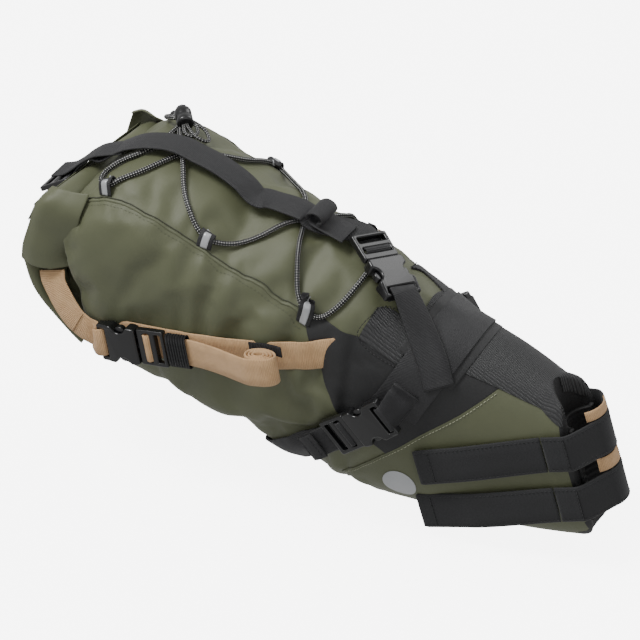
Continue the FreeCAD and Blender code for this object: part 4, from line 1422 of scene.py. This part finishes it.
def strap_reach(node, back, side):
    """How far out the CAD strap's middle is, at a distance behind the seatpost."""
    ys = [v.co.y for v in frame["nodes"][node].data.vertices
          if abs(v.co.dot(POST_FRONT) / MM + back) < 3.2 and v.co.y * side > 0]
    return (min(ys) + max(ys)) / 2 / MM


def strap_edges(stops, body, height_sign=(1, -1)):
    """Stitches along both edges of a wide strap."""
    line, outs = route(stops)
    for sign in height_sign:
        shift = POST_AXIS * sign * (STRAP_WIDTH / 2 - 2.4) * MM
        sewn = [p + shift + o.normalized() * STRAP_THICK / 2 * MM for p, o in zip(line, outs)]
        sew(body, DARK_THREAD, sewn, outs, radius=0.24 * MM)


def make_seatpost_straps():
    for name, height in STRAP_HEIGHTS.items():
        flap_node, fixed_node = f"strap_flap_{name}", f"seatpost_strap_{name}"
        end = FLAP_LENGTHS[name]
        out = Vector((0, -1, 0))
        backs = (24, 55, 90, end)
        reaches = [strap_reach(flap_node, back, -1) - 1.5 for back in backs]
        stops = []
        for back in (24, 32, 44, 56, 68, 80, 92, 104, end - 12, end):
            y = float(np.interp(back, backs, reaches))
            stops.append((by_post(-back, y - 1.2 * bell(back - 74, 30), height), out))
        flap = ribbon(flap_node, stops, STRAP_WIDTH * MM, STRAP_THICK * MM, VELCRO,
                      f"{flap_node}_end",
                      taper=lambda share: 1 - 0.05 * smoothstep((share - 0.97) / 0.03))
        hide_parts(flap_node)
        strap_edges(stops, f"{flap_node}_end")
        line, outs = across_line(stops[-2][0], POST_FRONT, out, 13 * MM,
                                 (STRAP_THICK / 2 + 0.1) * MM)
        sew(f"{flap_node}_end", DARK_THREAD, line, outs, radius=0.4 * MM)

        left_y = [strap_reach(fixed_node, back, 1) + 1.5 for back in (78, 50, 24)]
        wrap = [(by_post(-back, y, height), LEFT)
                for back, y in ((80, left_y[0]), (65, (left_y[0] + left_y[1]) / 2), (50, left_y[1]),
                                (36, (left_y[1] + left_y[2]) / 2), (24, left_y[2]),
                                (10, 36.0))]
        wrap.append((by_post(-1, 32.5, height), (LEFT + POST_FRONT * 0.6).normalized()))
        for angle in np.linspace(42, -42, 9):
            turn = math.radians(float(angle))
            radial = POST_FRONT * math.cos(turn) + LEFT * math.sin(turn)
            wrap.append((radial * POST_REACH * MM + POST_AXIS * height * MM, radial))
        wrap += [(by_post(-1, -32.5, height), (POST_FRONT * 0.6 - LEFT).normalized()),
                 (by_post(-10, -35.6, height), out),
                 (by_post(-22.5, reaches[0] + 0.2, height), out)]
        fixed = ribbon(fixed_node, wrap, STRAP_WIDTH * MM, STRAP_THICK * MM, VELCRO, "bag")
        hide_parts(fixed_node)
        strap_edges(wrap, "bag")
        line, outs = across_line(by_post(-4, -35, height), POST_FRONT, out, 13 * MM,
                                 (STRAP_THICK / 2 + 0.4) * MM)
        sew("bag", DARK_THREAD, line, outs, radius=0.4 * MM)


def make_keeper_webs():
    meshes = []
    for height, width in ((12, 12), (56, 9)):
        stops = []
        for angle in np.linspace(-62, 42, 12):
            turn = math.radians(float(angle))
            radial = POST_FRONT * math.cos(turn) + LEFT * math.sin(turn)
            stops.append((radial * 16.9 * MM + POST_AXIS * height * MM, radial))
        piece = ribbon("keeper_web", stops, width * MM, 1.3 * MM, TAN, None, 1.4 * MM)
        meshes.append(piece.data.copy())
        bpy.data.objects.remove(piece)
    webs = joined("loop_keeper_webs", meshes, TAN, "bag")
    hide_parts("loop_keeper_webs")


def make_pad():
    """The grippy saddle that the seatpost lies in, ribbed across so that it can't slip."""
    rows = []
    for height in np.linspace(-34.4, 46.4, 82):
        rib = 0.35 * math.cos(2 * math.pi * height / 5.2)
        row = []
        for y in np.linspace(-21.8, 21.8, 60):
            bed = math.sqrt(max(0.0, 16.5 ** 2 - y ** 2)) if abs(y) < 16.5 else 0.0
            row.append(by_post(-max(3.5, bed) - 0.2 + rib, float(y), float(height)))
        rows.append(row)
    pad = link("seatpost_pad", grid_mesh("seatpost_pad", rows), PAD, None)
    wall = pad.modifiers.new("thickness", "SOLIDIFY")
    wall.thickness = 3.2 * MM
    wall.offset = -1 if pad.data.polygons[0].normal.dot(POST_FRONT) > 0 else 1
    settle_modifiers(pad)
    outward_faces(pad.data)
    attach(pad, "bag")
    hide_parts("seatpost_pad")


# ---------------------------------------------------------------- the whole scene
def finish_stitches():
    for (body, thread), meshes in STITCHES.items():
        joined(f"{thread}_{body}", meshes, bpy.data.materials[thread], body)


def dress_inner_parts():
    for node_name, material in (("base_stiffener", BOARD), ("mouth_strip", BOARD),
                                ("cord_lock_spring", STEEL)):
        mesh = frame["nodes"][node_name].data
        mesh.materials.clear()
        mesh.materials.append(material)


def make_floor():
    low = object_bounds()[0][2] - 2 * MM
    half = 3.0
    corners = [Vector((x, y, low)) for x, y in ((-half, -half), (half, -half), (half, half),
                                                (-half, half))]
    floor = link("floor", mesh_of("floor", corners, [(0, 1, 2, 3)]), FLOOR, None)
    floor.visible_diffuse = floor.visible_glossy = False


place_camera()
studio()
shell = make_shell()
skin = Surface(shell)
make_bungee(skin)
make_panels(shell, skin)
make_harness(shell)
make_seams(skin)
make_roll()
make_roll_ends()
make_loops(skin)
make_buckles()
make_rear_plates()
make_cord_lock(skin)
make_side_straps(skin)
make_belly_webs(skin)
make_top_strap(skin)
make_seatpost_straps()
make_keeper_webs()
make_pad()
finish_stitches()
dress_inner_parts()
make_floor()
